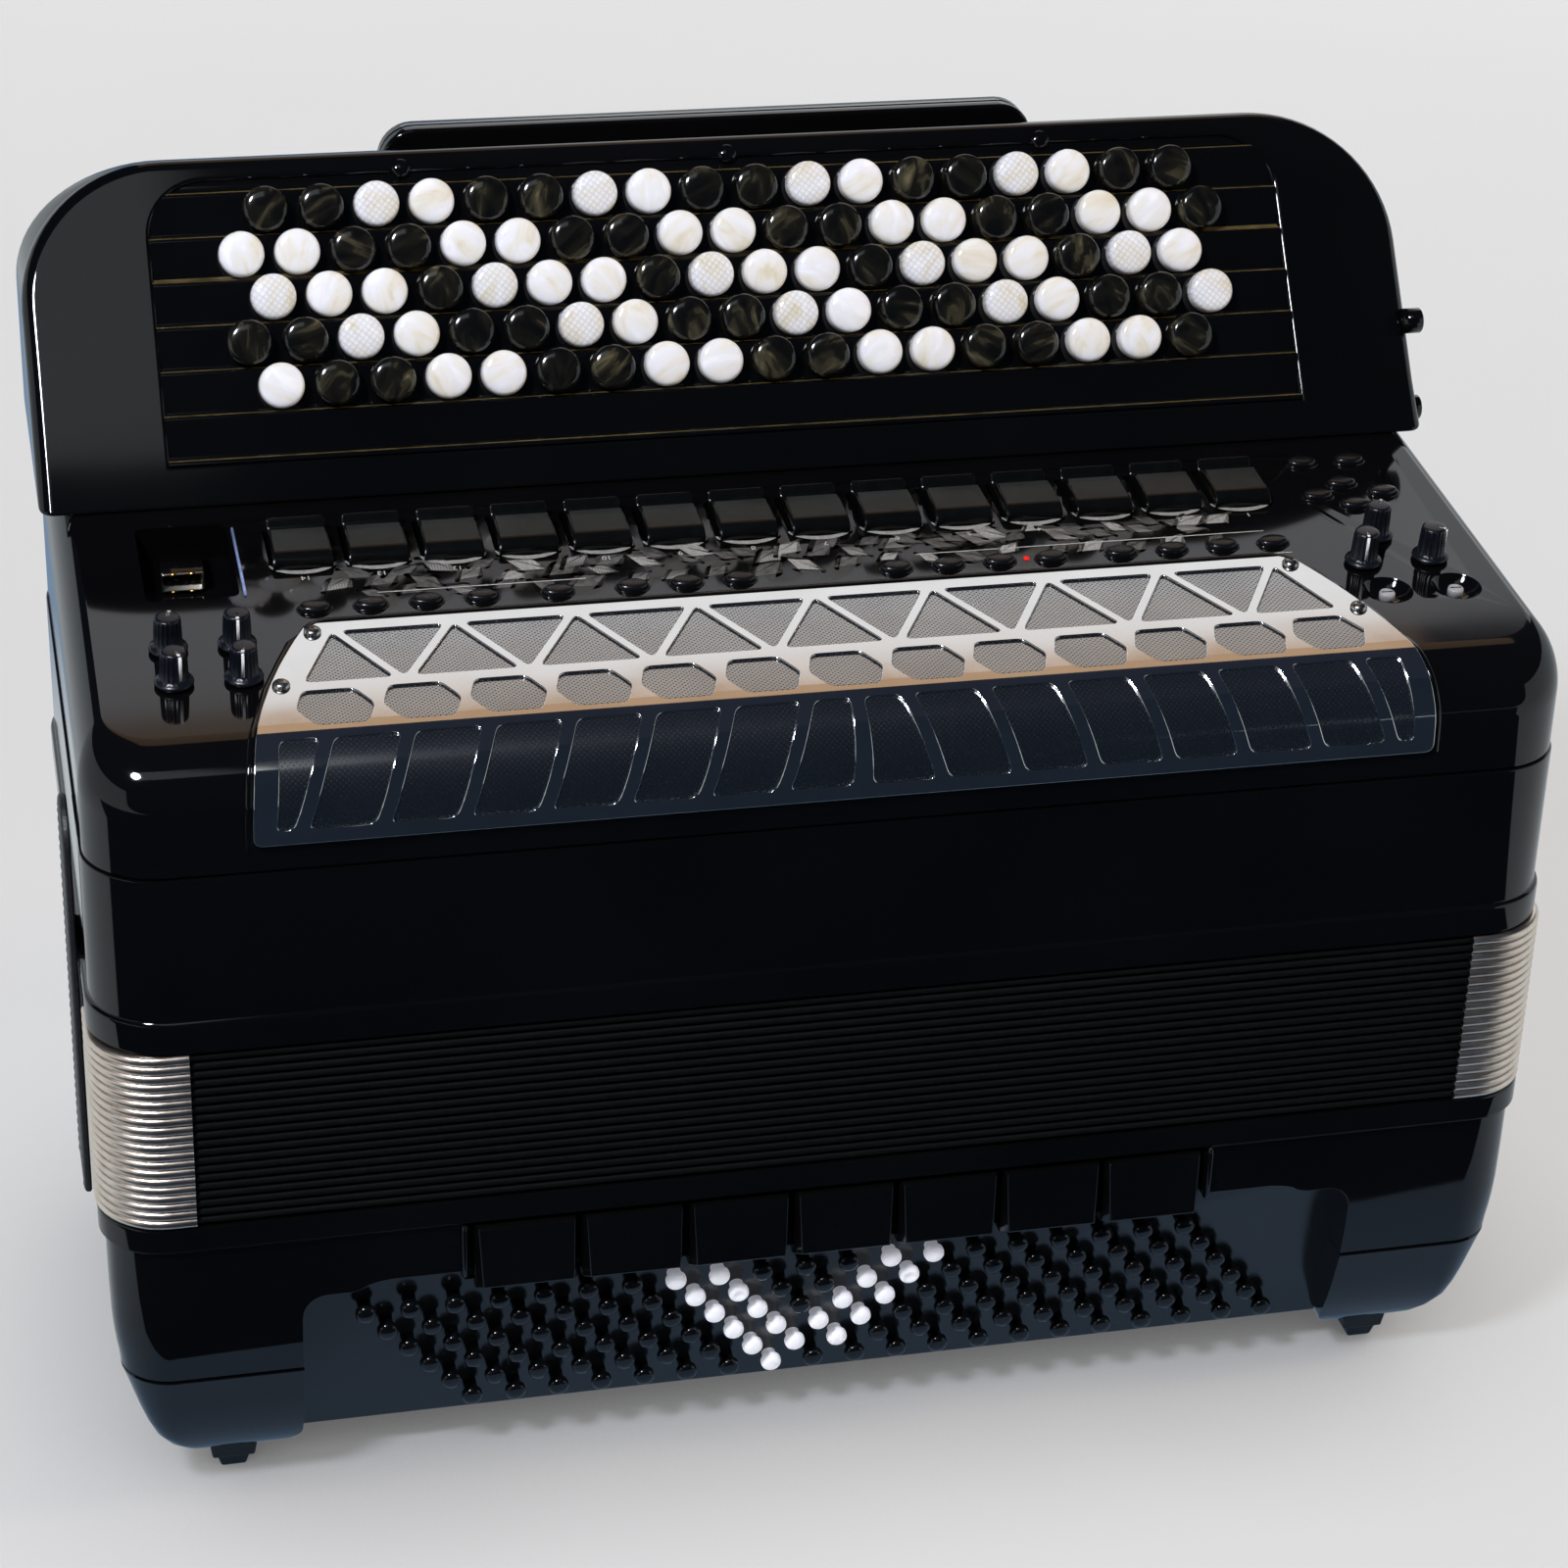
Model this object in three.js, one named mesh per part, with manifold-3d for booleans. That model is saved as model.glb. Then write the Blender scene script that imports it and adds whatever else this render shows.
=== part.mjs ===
// Digital button accordion, standing on its bass end. Millimetres, +Z up, grille side towards -Y.
// The origin is on the floor under the middle of the box that holds the instrument's width and depth.
import * as THREE from "three";
import { mergeVertices } from "three/addons/utils/BufferGeometryUtils.js";
import Module from "manifold-3d";

const wasm = await Module();
wasm.setup();

// Driving dimensions of the body, whose width follows the rows of buttons
const treble_pitch = 18.5;
const treble_row_counts = [18, 19, 18, 19, 18];
const recess_end_margin = 29;
const housing_side_margin = 43.5;
const housing_overhang = 1.7;
const treble_taper = 1.3;
const bellows_taper = 3;
const bass_taper = 6;
const treble_corner_radius = 24;
const bellows_corner_radius = 20;
const bass_corner_radius = 19;
const rear_corner_radius = 24;
const least_corner_radius = 6;
const body_wall = 4;
const seat_gap = 0.3;
const cut_overrun = 6;

// Heights, from the floor up
const foot_height = 5;
const foot_strip_thickness = 3;
const end_cover_height = 48.2;
const bass_casing_height = 50.2;
const rim_height = 9.4;
const rim_lip = 2;
const bellows_height = 62.7;
const treble_rim_height = 11.3;
const treble_frame_height = 49;
const front_edge_height = 36.6;
const panel_slope = THREE.MathUtils.degToRad(6.1);

// Sizes of the bass end
const notch_end_margin = 20.4;
const notch_height = 68.3;
const bass_plate_thickness = 3;
const bass_plate_tilt = THREE.MathUtils.degToRad(16.7);
const bass_button_tilt = THREE.MathUtils.degToRad(8);
const bass_plate_setback = 8.7;
const bass_plate_top = 73.2;
const bass_plate_foot = 8;
const bass_pitch = 14.59;
const bass_row_step = 9.91;
const bass_row_shift = bass_pitch / 2;
const bass_columns = 20;
const bass_rows = 6;
const bass_cap_radius = 3.5;
const bass_cap_length = 2.8;
const bass_cap_dome = 1.3;
const bass_cap_reach = 6.6;
const bass_rail_thickness = 2.6;
const bass_rail_depth = 8;
const tab_pitch = 35.1;
const tab_gap = 2;
const tab_count = 7;
const tab_height = 25.5;
const tab_thickness = 9;
const tab_proud = 3;
const tab_travel = 2.5;
const tab_drop = 0.5;
const tab_bevel = 2;
const battery_size = new THREE.Vector3(150, 70, 34);

// Sizes of the bellows and its strap
const fold_count = 20;
const fold_depth = 2.4;
const bellows_wall = 15;
const bellows_inset = -1.2;
const strap_width = 26;
const strap_thickness = 2.6;
const strap_middle = 62;
const strap_length = 138;
const strap_standoff = 0.4;
const strap_foot = 16;

// Sizes of the keyboard housing
const housing_lean = THREE.MathUtils.degToRad(36.09);
const register_to_housing = 29.5;
const housing_head_margin = 9;
const housing_crown = 13.3;
const housing_rear_overhang = 4;
const housing_corner = 49;
const housing_wall = 5;
const housing_edge = 5;
const recess_foot = 15.3;
const recess_head_margin = 12;
const last_row_margin = 23.46;
const recess_corner = 18;

// Sizes of the treble buttons and their stepped board
const treble_row_step = 15.06;
const treble_cap_radius = 7.15;
const treble_cap_length = 3.1;
const treble_cap_dome = 1.4;
const treble_cap_reach = 7.4;
const treble_face_tilt = THREE.MathUtils.degToRad(25);
const first_row_reach = 6.95;
const treble_rail_thickness = 5;
const treble_rail_depth = 11;
const board_thickness = 4;
const rail_clearance = 0.8;
const rail_margin = 3;

// Sizes of the control panel
const panel_thickness = 3.5;
const top_edge_radius = 18;
const side_edge_radius = 9;
const register_count = 14;
const register_end_margin = 78.9;
const register_width = 19.4;
const register_length = 25;
const oval_to_register = 37.5;
const register_height = 5.6;
const register_depth = 8;
const register_scoop = 2.6;
const register_clearance = 1.4;
const register_swing_room = 2;
const oval_half_length = 5;
const oval_half_width = 3.1;
const oval_height = 2.2;
const oval_clearance = 0.6;
const oval_carrier = 2;
const oval_travel = 1;
const grille_to_oval = 11;
const knob_radius = 4.6;
const knob_skirt_radius = 6.6;
const knob_skirt_height = 2.2;
const knob_height = 14;
const knob_shaft_radius = 2.6;
const knob_clearance = 0.5;
const knob_lift = 0.5;
const knob_depth = 9;
const bowl_radius = 7.2;
const bowl_depth = 4.2;
const bowl_floor = 2.4;
const bowl_boss = 3;
const trim_radius = 2.7;
const trim_height = 3.6;
const pocket_offset = -3.5;
const pocket_gap = 10.8;
const pocket_size = new THREE.Vector2(29.5, 46);
const pocket_depth = 12;
const pocket_wall = 2.5;
const socket_size = new THREE.Vector3(14.5, 18, 8);
const socket_mouth = new THREE.Vector3(12, 11, 5.2);
const socket_setback = 5;

// Sizes of the grille and what is behind it
const grille_thickness = 1.2;
const grille_clear = 0.4;
const grille_top = 74;
const grille_top_margin = 75.3;
const grille_foot_margin = 50;
const grille_foot_height = 9.6;
const grille_window_margin = 9;
const speaker_plate_thickness = 2.5;
const speaker_magnet_radius = 17;
const speaker_magnet_height = 16;
const speaker_spread = 88;
const board_size = new THREE.Vector2(330, 96);
const circuit_thickness = 1.8;
const circuit_post = 5;
const circuit_post_height = 52;
const circuit_gap = 28;

// Sizes of the back cover, pegs and feet
const back_cover_half_width = 115;
const back_cover_thickness = 12;
const back_cover_height = 116;
const back_cover_rise = 1;
const peg_radius = 4.5;
const peg_length = 5;
const peg_rises = [32.9, 2.9];
const peg_setbacks = [23.5, 16.5];
const foot_inset = 38;
const foot_width = 11;
const foot_length = 16;
const foot_setback = 27;
const foot_strip_width = 16;
const foot_strip_setback = 25;

// Section of the rounded edges, as shares of their radius: inset share, drop share
const round_steps = 4;
const round_shares = Array.from({ length: round_steps + 1 }, (_, i) => {
  const angle = (i / round_steps) * (Math.PI / 2);
  return [1 - Math.cos(angle), 1 - Math.sin(angle)];
});
// Shares of the end cover's height and of its foot inset, from its seam down
const cover_shares = [[1, 0], [0.78, 0.14], [0.5, 0.24], [0.24, 0.4], [0.09, 0.62], [0, 1]];
const cover_foot_inset = 21;
const cover_seam_inset = 2.4;
const corner_steps = 4;
const cap_sides = 8;
const bass_cap_sides = 6;
const knob_sides = 12;

// Widths, worked out from the rows of buttons and their margins
const longest_row = Math.max(...treble_row_counts);
const recess_half_width = ((longest_row - 1) * treble_pitch) / 2 + recess_end_margin;
const housing_half_width = recess_half_width + housing_side_margin;
const body_half_width = housing_half_width - housing_overhang;
const bass_row_length = (bass_columns - 1) * bass_pitch;
const notch_half_width = (bass_row_length + (bass_rows - 1) * bass_row_shift) / 2 + notch_end_margin;
const grille_top_half_width = body_half_width - grille_top_margin;
const grille_foot_half_width = body_half_width - grille_foot_margin;
const foot_span = body_half_width - foot_inset;
const register_pitch = (2 * (body_half_width - register_end_margin)) / (register_count - 1);
const register_span = ((register_count - 1) * register_pitch + register_width) / 2;

// Depths from the front to the back, worked out from the rows on the panel and the housing behind them
const oval_row = grille_top + grille_to_oval;
const register_middle = oval_row + oval_to_register;
const pocket_middle = new THREE.Vector2(
  -register_span - pocket_gap - pocket_size.x / 2 - pocket_wall,
  register_middle + pocket_offset,
);
const first_row_slant = recess_foot + last_row_margin + (treble_row_counts.length - 1) * treble_row_step;
const recess_head = first_row_slant + recess_head_margin;
const housing_slant_height = recess_head + housing_head_margin;
const housing_foot = register_middle + register_to_housing;
const housing_back = housing_foot + housing_slant_height * Math.sin(housing_lean) + housing_crown;
const body_depth = housing_back - housing_rear_overhang;
const circuit_middle = body_depth - body_wall - circuit_gap - board_size.y / 2;

// Heights of the seams, worked out from the stack
const cover_floor = foot_height + foot_strip_thickness + seat_gap;
const cover_seam = cover_floor + end_cover_height;
const bass_top = cover_seam + seat_gap + bass_casing_height + rim_height;
const bellows_foot = bass_top + seat_gap;
const bellows_head = bellows_foot + bellows_height;
const frame_foot = bellows_head + seat_gap;
const frame_head = frame_foot + treble_rim_height + treble_frame_height;
const casing_foot = frame_head + seat_gap;
const front_top = casing_foot + front_edge_height;
const panel_height = (y) => front_top + y * Math.tan(panel_slope);
const housing_seat = panel_height(housing_foot);

const model = new THREE.Group();

// Materials by the look of each piece
const finish = (color, roughness, metalness = 0) =>
  new THREE.MeshStandardMaterial({ color, roughness, metalness });
const gloss_black = finish(0x0b0b0d, 0.06);
const satin_black = finish(0x16171a, 0.4);
const rubber_black = finish(0x1b1b1b, 0.85);
const chrome = finish(0xd8dade, 0.08, 1);
const pearl_white = finish(0xf1efe9, 0.2);
const black_cloth = finish(0x101012, 0.9);
const leather = finish(0x19181a, 0.6);
const circuit_green = finish(0x1f5a3c, 0.5);
const steel = finish(0x9da1a6, 0.35, 1);

// Turns a closed geometry into a solid that can be joined and cut
function solid(geometry) {
  const bare = geometry.index ? geometry.toNonIndexed() : geometry.clone();
  bare.deleteAttribute("normal");
  bare.deleteAttribute("uv");
  const merged = mergeVertices(bare, 1e-4);
  return new wasm.Manifold(
    new wasm.Mesh({
      numProp: 3,
      vertProperties: merged.attributes.position.array,
      triVerts: new Uint32Array(merged.index.array),
    }),
  );
}

function shown(made) {
  const mesh = made.getMesh();
  const geometry = new THREE.BufferGeometry();
  geometry.setAttribute("position", new THREE.BufferAttribute(mesh.vertProperties, 3));
  geometry.setIndex(new THREE.BufferAttribute(mesh.triVerts, 1));
  geometry.computeVertexNormals();
  return geometry;
}

function add(name, made, material) {
  const mesh = new THREE.Mesh(shown(made), material);
  mesh.name = name;
  model.add(mesh);
}

const joined = (solids) => solids.reduce((all, one) => all.add(one));

const box = (x0, x1, y0, y1, z0, z1) =>
  solid(
    new THREE.BoxGeometry(x1 - x0, y1 - y0, z1 - z0).translate((x0 + x1) / 2, (y0 + y1) / 2, (z0 + z1) / 2),
  );

// A solid through rings of the same number of points, each counter-clockwise from above
function loft(rings, hollow = false) {
  const count = rings[0].length;
  const faces = [];
  const side = (low, high) => {
    for (let i = 0; i < count; i++) {
      const next = (i + 1) % count;
      faces.push([low + i, low + next, high + next], [low + i, high + next, high + i]);
    }
  };
  for (let k = 0; k + 1 < rings.length; k++) side(k * count, (k + 1) * count);
  if (hollow) side((rings.length - 1) * count, 0);
  else {
    const cap = (ring, start, up) => {
      const flat = ring.map((p) => new THREE.Vector2(p.x, p.y));
      for (const [a, b, c] of THREE.ShapeUtils.triangulateShape(flat, []))
        faces.push(up ? [start + a, start + b, start + c] : [start + a, start + c, start + b]);
    };
    cap(rings[0], 0, false);
    cap(rings.at(-1), (rings.length - 1) * count, true);
  }
  const geometry = new THREE.BufferGeometry().setFromPoints(rings.flat());
  geometry.setIndex(faces.flat());
  return solid(geometry);
}

// Plan outline of one part of the body, drawn in by its front, side and rear insets
const treble_outline = { taper: treble_taper, corner: treble_corner_radius };
const bellows_outline = { taper: bellows_taper, corner: bellows_corner_radius };
const bass_outline = { taper: bass_taper, corner: bass_corner_radius };

function plan(outline, front, side, rear, height) {
  const half_front = body_half_width - side;
  const half_rear = body_half_width - outline.taper - side;
  const y_rear = body_depth - rear;
  const r_front = Math.max(outline.corner - side, least_corner_radius);
  const r_rear = Math.max(rear_corner_radius - side, least_corner_radius);
  const corner = (x, y, radius, start) => {
    const points = [];
    for (let i = 0; i <= corner_steps; i++) {
      const angle = start + (i / corner_steps) * (Math.PI / 2);
      points.push([x + radius * Math.cos(angle), y + radius * Math.sin(angle)]);
    }
    return points;
  };
  const points = [
    ...corner(-half_front + r_front, front + r_front, r_front, Math.PI),
    ...corner(half_front - r_front, front + r_front, r_front, 1.5 * Math.PI),
    ...corner(half_rear - r_rear, y_rear - r_rear, r_rear, 0),
    ...corner(-half_rear + r_rear, y_rear - r_rear, r_rear, Math.PI / 2),
  ];
  return points.map(([x, y]) => new THREE.Vector3(x, y, typeof height === "number" ? height : height(y)));
}

const ring = (outline, inset, height) => plan(outline, inset, inset, inset, height);

// A section in Y and Z swept along X between two places
function across(points, x0, x1) {
  const shape = new THREE.Shape(points.map(([y, z]) => new THREE.Vector2(y, z)));
  const geometry = new THREE.ExtrudeGeometry(shape, { depth: x1 - x0, bevelEnabled: false });
  // The extrusion runs along Z: its X becomes Y, its Y becomes Z and its Z becomes X
  geometry.applyMatrix4(new THREE.Matrix4().set(0, 0, 1, x0, 1, 0, 0, 0, 0, 1, 0, 0, 0, 0, 0, 1));
  return solid(geometry);
}

// A solid drawn round a button's axis: along X, across the row, and outwards
function placed(made, x, y, z, tilt) {
  const turn = new THREE.Matrix4().makeBasis(
    new THREE.Vector3(1, 0, 0),
    new THREE.Vector3(0, Math.sin(tilt), Math.cos(tilt)),
    new THREE.Vector3(0, -Math.cos(tilt), Math.sin(tilt)),
  );
  turn.setPosition(x, y, z);
  return made.transform(turn.elements);
}

// A round solid from its profile of radius and height, standing on its axis
function turned(profile, sides, lift = 0) {
  const points = profile.map(([radius, height]) => new THREE.Vector2(radius, height));
  return solid(new THREE.LatheGeometry(points, sides).rotateX(Math.PI / 2).translate(0, 0, lift));
}

// Bass end cover: a tray with tapered sides and rounded foot, cut back under the button plate
const plate_point = (z) => [
  bass_plate_setback + (bass_plate_top - z) * Math.tan(bass_plate_tilt),
  z,
];
const plate_low = cover_floor + bass_plate_foot;
const notch_top = cover_floor + notch_height;
const notch = across(
  [
    [-cut_overrun, notch_top],
    [-cut_overrun, -cut_overrun],
    [plate_point(plate_low)[0] + seat_gap, -cut_overrun],
    [plate_point(plate_low)[0] + seat_gap, plate_low],
    [plate_point(notch_top)[0] + seat_gap, notch_top],
  ],
  -notch_half_width,
  notch_half_width,
);

function cover_ring([height, inset], wall) {
  const drawn = cover_seam_inset + inset * (cover_foot_inset - cover_seam_inset) + wall;
  return ring(bass_outline, drawn, cover_floor + height * end_cover_height);
}

function end_cover() {
  const outer = loft(cover_shares.map((share) => cover_ring(share, 0)).reverse());
  const low = cover_floor + body_wall;
  const inner_rings = cover_shares
    .slice(0, -1)
    .map((share) => cover_ring(share, body_wall))
    .reverse();
  inner_rings[0].forEach((p) => (p.z = low));
  inner_rings.push(inner_rings.at(-1).map((p) => p.clone().setZ(cover_seam + cut_overrun)));
  const shell = outer.subtract(loft(inner_rings));
  const cheek = (side) =>
    outer.intersect(
      box(
        side > 0 ? notch_half_width : -notch_half_width - body_wall,
        side > 0 ? notch_half_width + body_wall : -notch_half_width,
        0,
        plate_point(0)[0] + body_wall,
        cover_floor,
        cover_seam,
      ),
    );
  const lip_back = plate_point(plate_low)[0];
  const lip = box(
    -notch_half_width,
    notch_half_width,
    lip_back,
    lip_back + body_wall,
    cover_floor + body_wall / 2,
    plate_low - seat_gap,
  );
  return joined([shell, cheek(1), cheek(-1), lip]).subtract(notch);
}
add("bass_end_cover", end_cover(), gloss_black);

// Bass casing: the wall above the seam, with the rim and the plate that carry the bellows
const casing_low = cover_seam + seat_gap;
const rim_low = bass_top - rim_height;
const tab_top = rim_low - tab_drop;
const tab_low = tab_top - tab_height;
const tab_span = (tab_count * tab_pitch) / 2;

function bass_casing() {
  const outer = loft([
    ring(bass_outline, cover_seam_inset, casing_low),
    ring(bass_outline, 0, rim_low),
    ring(bass_outline, -rim_lip, rim_low + rim_lip / 2),
    ring(bass_outline, -rim_lip, bass_top),
  ]);
  const inner = loft([
    ring(bass_outline, body_wall + cover_seam_inset, casing_low - cut_overrun),
    ring(bass_outline, body_wall + cover_seam_inset, bass_top - body_wall),
  ]);
  const cheek = (side) =>
    outer.intersect(
      box(
        side > 0 ? notch_half_width : -notch_half_width - body_wall,
        side > 0 ? notch_half_width + body_wall : -notch_half_width,
        0,
        plate_point(casing_low)[0] + body_wall,
        casing_low,
        notch_top + body_wall,
      ),
    );
  const pocket_back = tab_thickness - tab_proud + tab_travel + seat_gap;
  const pocket_half = tab_span + tab_gap / 2;
  const tab_window = box(
    -pocket_half,
    pocket_half,
    -cut_overrun,
    pocket_back,
    tab_low - seat_gap,
    tab_top + seat_gap,
  );
  const tab_pocket = outer.intersect(
    box(
      -notch_half_width,
      notch_half_width,
      0,
      pocket_back + body_wall,
      notch_top,
      tab_top + body_wall,
    ),
  );
  return joined([outer.subtract(inner), cheek(1), cheek(-1), tab_pocket])
    .subtract(notch)
    .subtract(tab_window);
}
add("bass_casing", bass_casing(), gloss_black);

// Bass button plate: a sloping plate in the notch, with one slot for each row
const plate_along = new THREE.Vector3(0, Math.sin(bass_plate_tilt), -Math.cos(bass_plate_tilt));
const bass_first = new THREE.Vector3(
  -(bass_columns - 1) * (bass_pitch / 2) - (bass_rows - 1) * (bass_row_shift / 2),
  bass_plate_setback,
  bass_plate_top,
);
const bass_seat = (row) =>
  bass_first
    .clone()
    .addScaledVector(plate_along, row * bass_row_step)
    .setX(bass_first.x + row * bass_row_shift);
function bass_rail(row, margin, thickness, low, high) {
  const seat = bass_seat(row);
  const bar = box(-margin, bass_row_length + margin, -thickness / 2, thickness / 2, low, high);
  return placed(bar, seat.x, seat.y, seat.z, -bass_button_tilt);
}

function bass_plate() {
  const [y_low, z_low] = plate_point(plate_low);
  const [y_high, z_high] = plate_point(notch_top - seat_gap);
  const back = bass_plate_thickness / Math.cos(bass_plate_tilt);
  let plate = across(
    [
      [y_low, z_low],
      [y_low + back, z_low],
      [y_high + back, z_high],
      [y_high, z_high],
    ],
    -notch_half_width + seat_gap,
    notch_half_width - seat_gap,
  );
  for (let row = 0; row < bass_rows; row++) {
    const slot = bass_rail(
      row,
      rail_margin + rail_clearance,
      bass_rail_thickness + 2 * rail_clearance,
      -bass_rail_depth - cut_overrun,
      cut_overrun,
    );
    plate = plate.subtract(slot);
  }
  return plate;
}
add("bass_button_plate", bass_plate(), satin_black);

// Bass buttons: domed caps on a rail that runs behind the plate, one rail for each row
function button_cap(radius, length, dome, reach, sides) {
  return turned(
    [
      [0, reach - length],
      [radius, reach - length],
      [radius, reach - dome],
      [0, reach],
    ],
    sides,
  );
}
for (let row = 0; row < bass_rows; row++) {
  const seat = bass_seat(row);
  const base = bass_cap_reach - bass_cap_length;
  let made = bass_rail(row, rail_margin, bass_rail_thickness, -bass_rail_depth, base + bass_cap_dome);
  const cap = button_cap(bass_cap_radius, bass_cap_length, bass_cap_dome, bass_cap_reach, bass_cap_sides);
  const caps = Array.from({ length: bass_columns }, (_, i) =>
    placed(cap, seat.x + i * bass_pitch, seat.y, seat.z, -bass_button_tilt),
  );
  made = joined([made, ...caps]);
  add("bass_row_" + (row + 1), made, row % 2 ? gloss_black : pearl_white);
}

// Bass register tabs: bevelled bars pushed in under the rim
for (let i = 0; i < tab_count; i++) {
  const x0 = -tab_span + i * tab_pitch + tab_gap / 2;
  const x1 = x0 + tab_pitch - tab_gap;
  const section = [
    [-tab_proud, tab_low + tab_bevel],
    [0, tab_low],
    [tab_thickness - tab_proud, tab_low],
    [tab_thickness - tab_proud, tab_top],
    [0, tab_top],
    [-tab_proud, tab_top - tab_bevel],
  ];
  add("bass_register_" + (i + 1), across(section, x0, x1), gloss_black);
}

// Battery pack on the floor of the bass end
const battery_floor = cover_floor + body_wall + seat_gap;
add(
  "battery_pack",
  box(
    -battery_size.x / 2,
    battery_size.x / 2,
    body_depth / 2 - battery_size.y / 2,
    body_depth / 2 + battery_size.y / 2,
    battery_floor,
    battery_floor + battery_size.z,
  ),
  satin_black,
);

// Feet: two rubber feet on a strip under each side of the end cover
for (const [name, side] of [["feet_left", -1], ["feet_right", 1]]) {
  const middle = side * foot_span;
  const strip = box(
    middle - foot_strip_width / 2,
    middle + foot_strip_width / 2,
    foot_strip_setback,
    body_depth - foot_strip_setback,
    foot_height,
    foot_height + foot_strip_thickness,
  );
  const foot = (y) =>
    box(
      middle - foot_width / 2,
      middle + foot_width / 2,
      y,
      y + foot_length,
      0,
      foot_height + foot_strip_thickness,
    );
  const front = foot(foot_setback);
  const rear = foot(body_depth - foot_setback - foot_length);
  add(name, joined([strip, front, rear]), rubber_black);
}

// Bellows: a folded ring between the two rims, open through the middle
function bellows() {
  const rings = [];
  const pitch = bellows_height / fold_count;
  const fold = (inset, height) => rings.push(ring(bellows_outline, inset, height));
  for (let i = 0; i < fold_count; i++) {
    fold(bellows_inset + fold_depth, bellows_foot + i * pitch);
    fold(bellows_inset, bellows_foot + (i + 1 / 2) * pitch);
  }
  fold(bellows_inset + fold_depth, bellows_head);
  fold(bellows_wall, bellows_head);
  fold(bellows_wall, bellows_foot);
  return loft(rings, true);
}
add("bellows", bellows(), black_cloth);

// Bellows strap: a leather strap on the left, fixed to the bass rim and lying up the treble side
function bellows_strap() {
  const half = strap_width / 2;
  const shape = new THREE.Shape();
  shape.moveTo(-half, half);
  shape.absarc(0, half, half, Math.PI, 2 * Math.PI);
  shape.lineTo(half, strap_length - half);
  shape.absarc(0, strap_length - half, half, 0, Math.PI);
  const outline = new THREE.Shape(shape.getPoints(corner_steps));
  const geometry = new THREE.ExtrudeGeometry(outline, { depth: strap_thickness, bevelEnabled: false });
  // The strap's face is turned towards -X and follows the taper of the side
  const side_run = body_depth - treble_corner_radius - rear_corner_radius;
  const lean = Math.atan(treble_taper / side_run);
  const seat_x = body_half_width + rim_lip - (strap_middle - treble_corner_radius) * Math.tan(lean);
  geometry.rotateX(Math.PI / 2).rotateZ(-Math.PI / 2 - lean);
  geometry.translate(-seat_x - strap_standoff, strap_middle, bass_top - strap_foot);
  return solid(geometry);
}
add("bellows_strap", bellows_strap(), leather);

// Treble frame: the rim over the bellows, the wall above it and the floor that closes the bellows
function treble_frame() {
  const wall_foot = frame_foot + treble_rim_height;
  const outer = loft([
    ring(treble_outline, -rim_lip, frame_foot),
    ring(treble_outline, -rim_lip, wall_foot - rim_lip / 2),
    ring(treble_outline, -rim_lip / 3, wall_foot),
    ring(treble_outline, -rim_lip / 3, frame_head),
  ]);
  const inner = loft([
    ring(treble_outline, body_wall, frame_foot + treble_rim_height),
    ring(treble_outline, body_wall, frame_head + cut_overrun),
  ]);
  const below = loft([
    ring(treble_outline, bellows_wall, frame_foot - cut_overrun),
    ring(treble_outline, bellows_wall, wall_foot - body_wall),
  ]);
  const posts = [-1, 1].flatMap((x) =>
    [-1, 1].map((y) => {
      const px = (x * (board_size.x - 2 * circuit_post)) / 2;
      const py = circuit_middle + (y * (board_size.y - 2 * circuit_post)) / 2;
      return box(
        px - circuit_post / 2,
        px + circuit_post / 2,
        py - circuit_post / 2,
        py + circuit_post / 2,
        wall_foot - body_wall / 2,
        wall_foot + circuit_post_height,
      );
    }),
  );
  return joined([outer.subtract(inner).subtract(below), ...posts]);
}
add("treble_frame", treble_frame(), gloss_black);

const circuit_floor = frame_foot + treble_rim_height + circuit_post_height + seat_gap;
add(
  "main_circuit_board",
  box(
    -board_size.x / 2,
    board_size.x / 2,
    circuit_middle - board_size.y / 2,
    circuit_middle + board_size.y / 2,
    circuit_floor,
    circuit_floor + circuit_thickness,
  ),
  circuit_green,
);

// A solid drawn on the control panel: along X, up the slope, and square out of it
function on_panel(made, x, y) {
  const turn = new THREE.Matrix4().makeBasis(
    new THREE.Vector3(1, 0, 0),
    new THREE.Vector3(0, Math.cos(panel_slope), Math.sin(panel_slope)),
    new THREE.Vector3(0, -Math.sin(panel_slope), Math.cos(panel_slope)),
  );
  turn.setPosition(x, y, panel_height(y));
  return made.transform(turn.elements);
}

// Places on the panel, as shares of the body's half width and depth
const knob_shares = {
  knob_left_1: [-0.8656, 0.2026],
  knob_left_2: [-0.7762, 0.2026],
  knob_left_3: [-0.8656, 0.2866],
  knob_left_4: [-0.7762, 0.2866],
  knob_right_1: [0.7847, 0.2966],
  knob_right_2: [0.8837, 0.2966],
  knob_right_3: [0.8268, 0.3664],
};
const trim_shares = { trim_knob_left: [0.7944, 0.2198], trim_knob_right: [0.8942, 0.2181] };
const oval_front_shares = [
  -0.6658, -0.5908, -0.5158, -0.4408, -0.3388, -0.2364, -0.1618, -0.0877,
  0.1315, 0.2052, 0.279, 0.3527, 0.4539, 0.528, 0.6022, 0.6764,
];
const oval_rear_shares = [
  [0.7927, 0.5853],
  [0.8647, 0.5853],
  [0.8302, 0.519],
  [0.7838, 0.4875],
  [0.8302, 0.4569],
  [0.8824, 0.4875],
];
const place = ([x, y]) => [x * body_half_width, y * body_depth];
const places = (table) =>
  Object.fromEntries(Object.entries(table).map(([name, shares]) => [name, place(shares)]));
const knob_places = places(knob_shares);
const trim_places = places(trim_shares);
const oval_front_places = oval_front_shares.map((share) => [share * body_half_width, oval_row]);
const oval_rear_places = oval_rear_shares.map(place);

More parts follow.
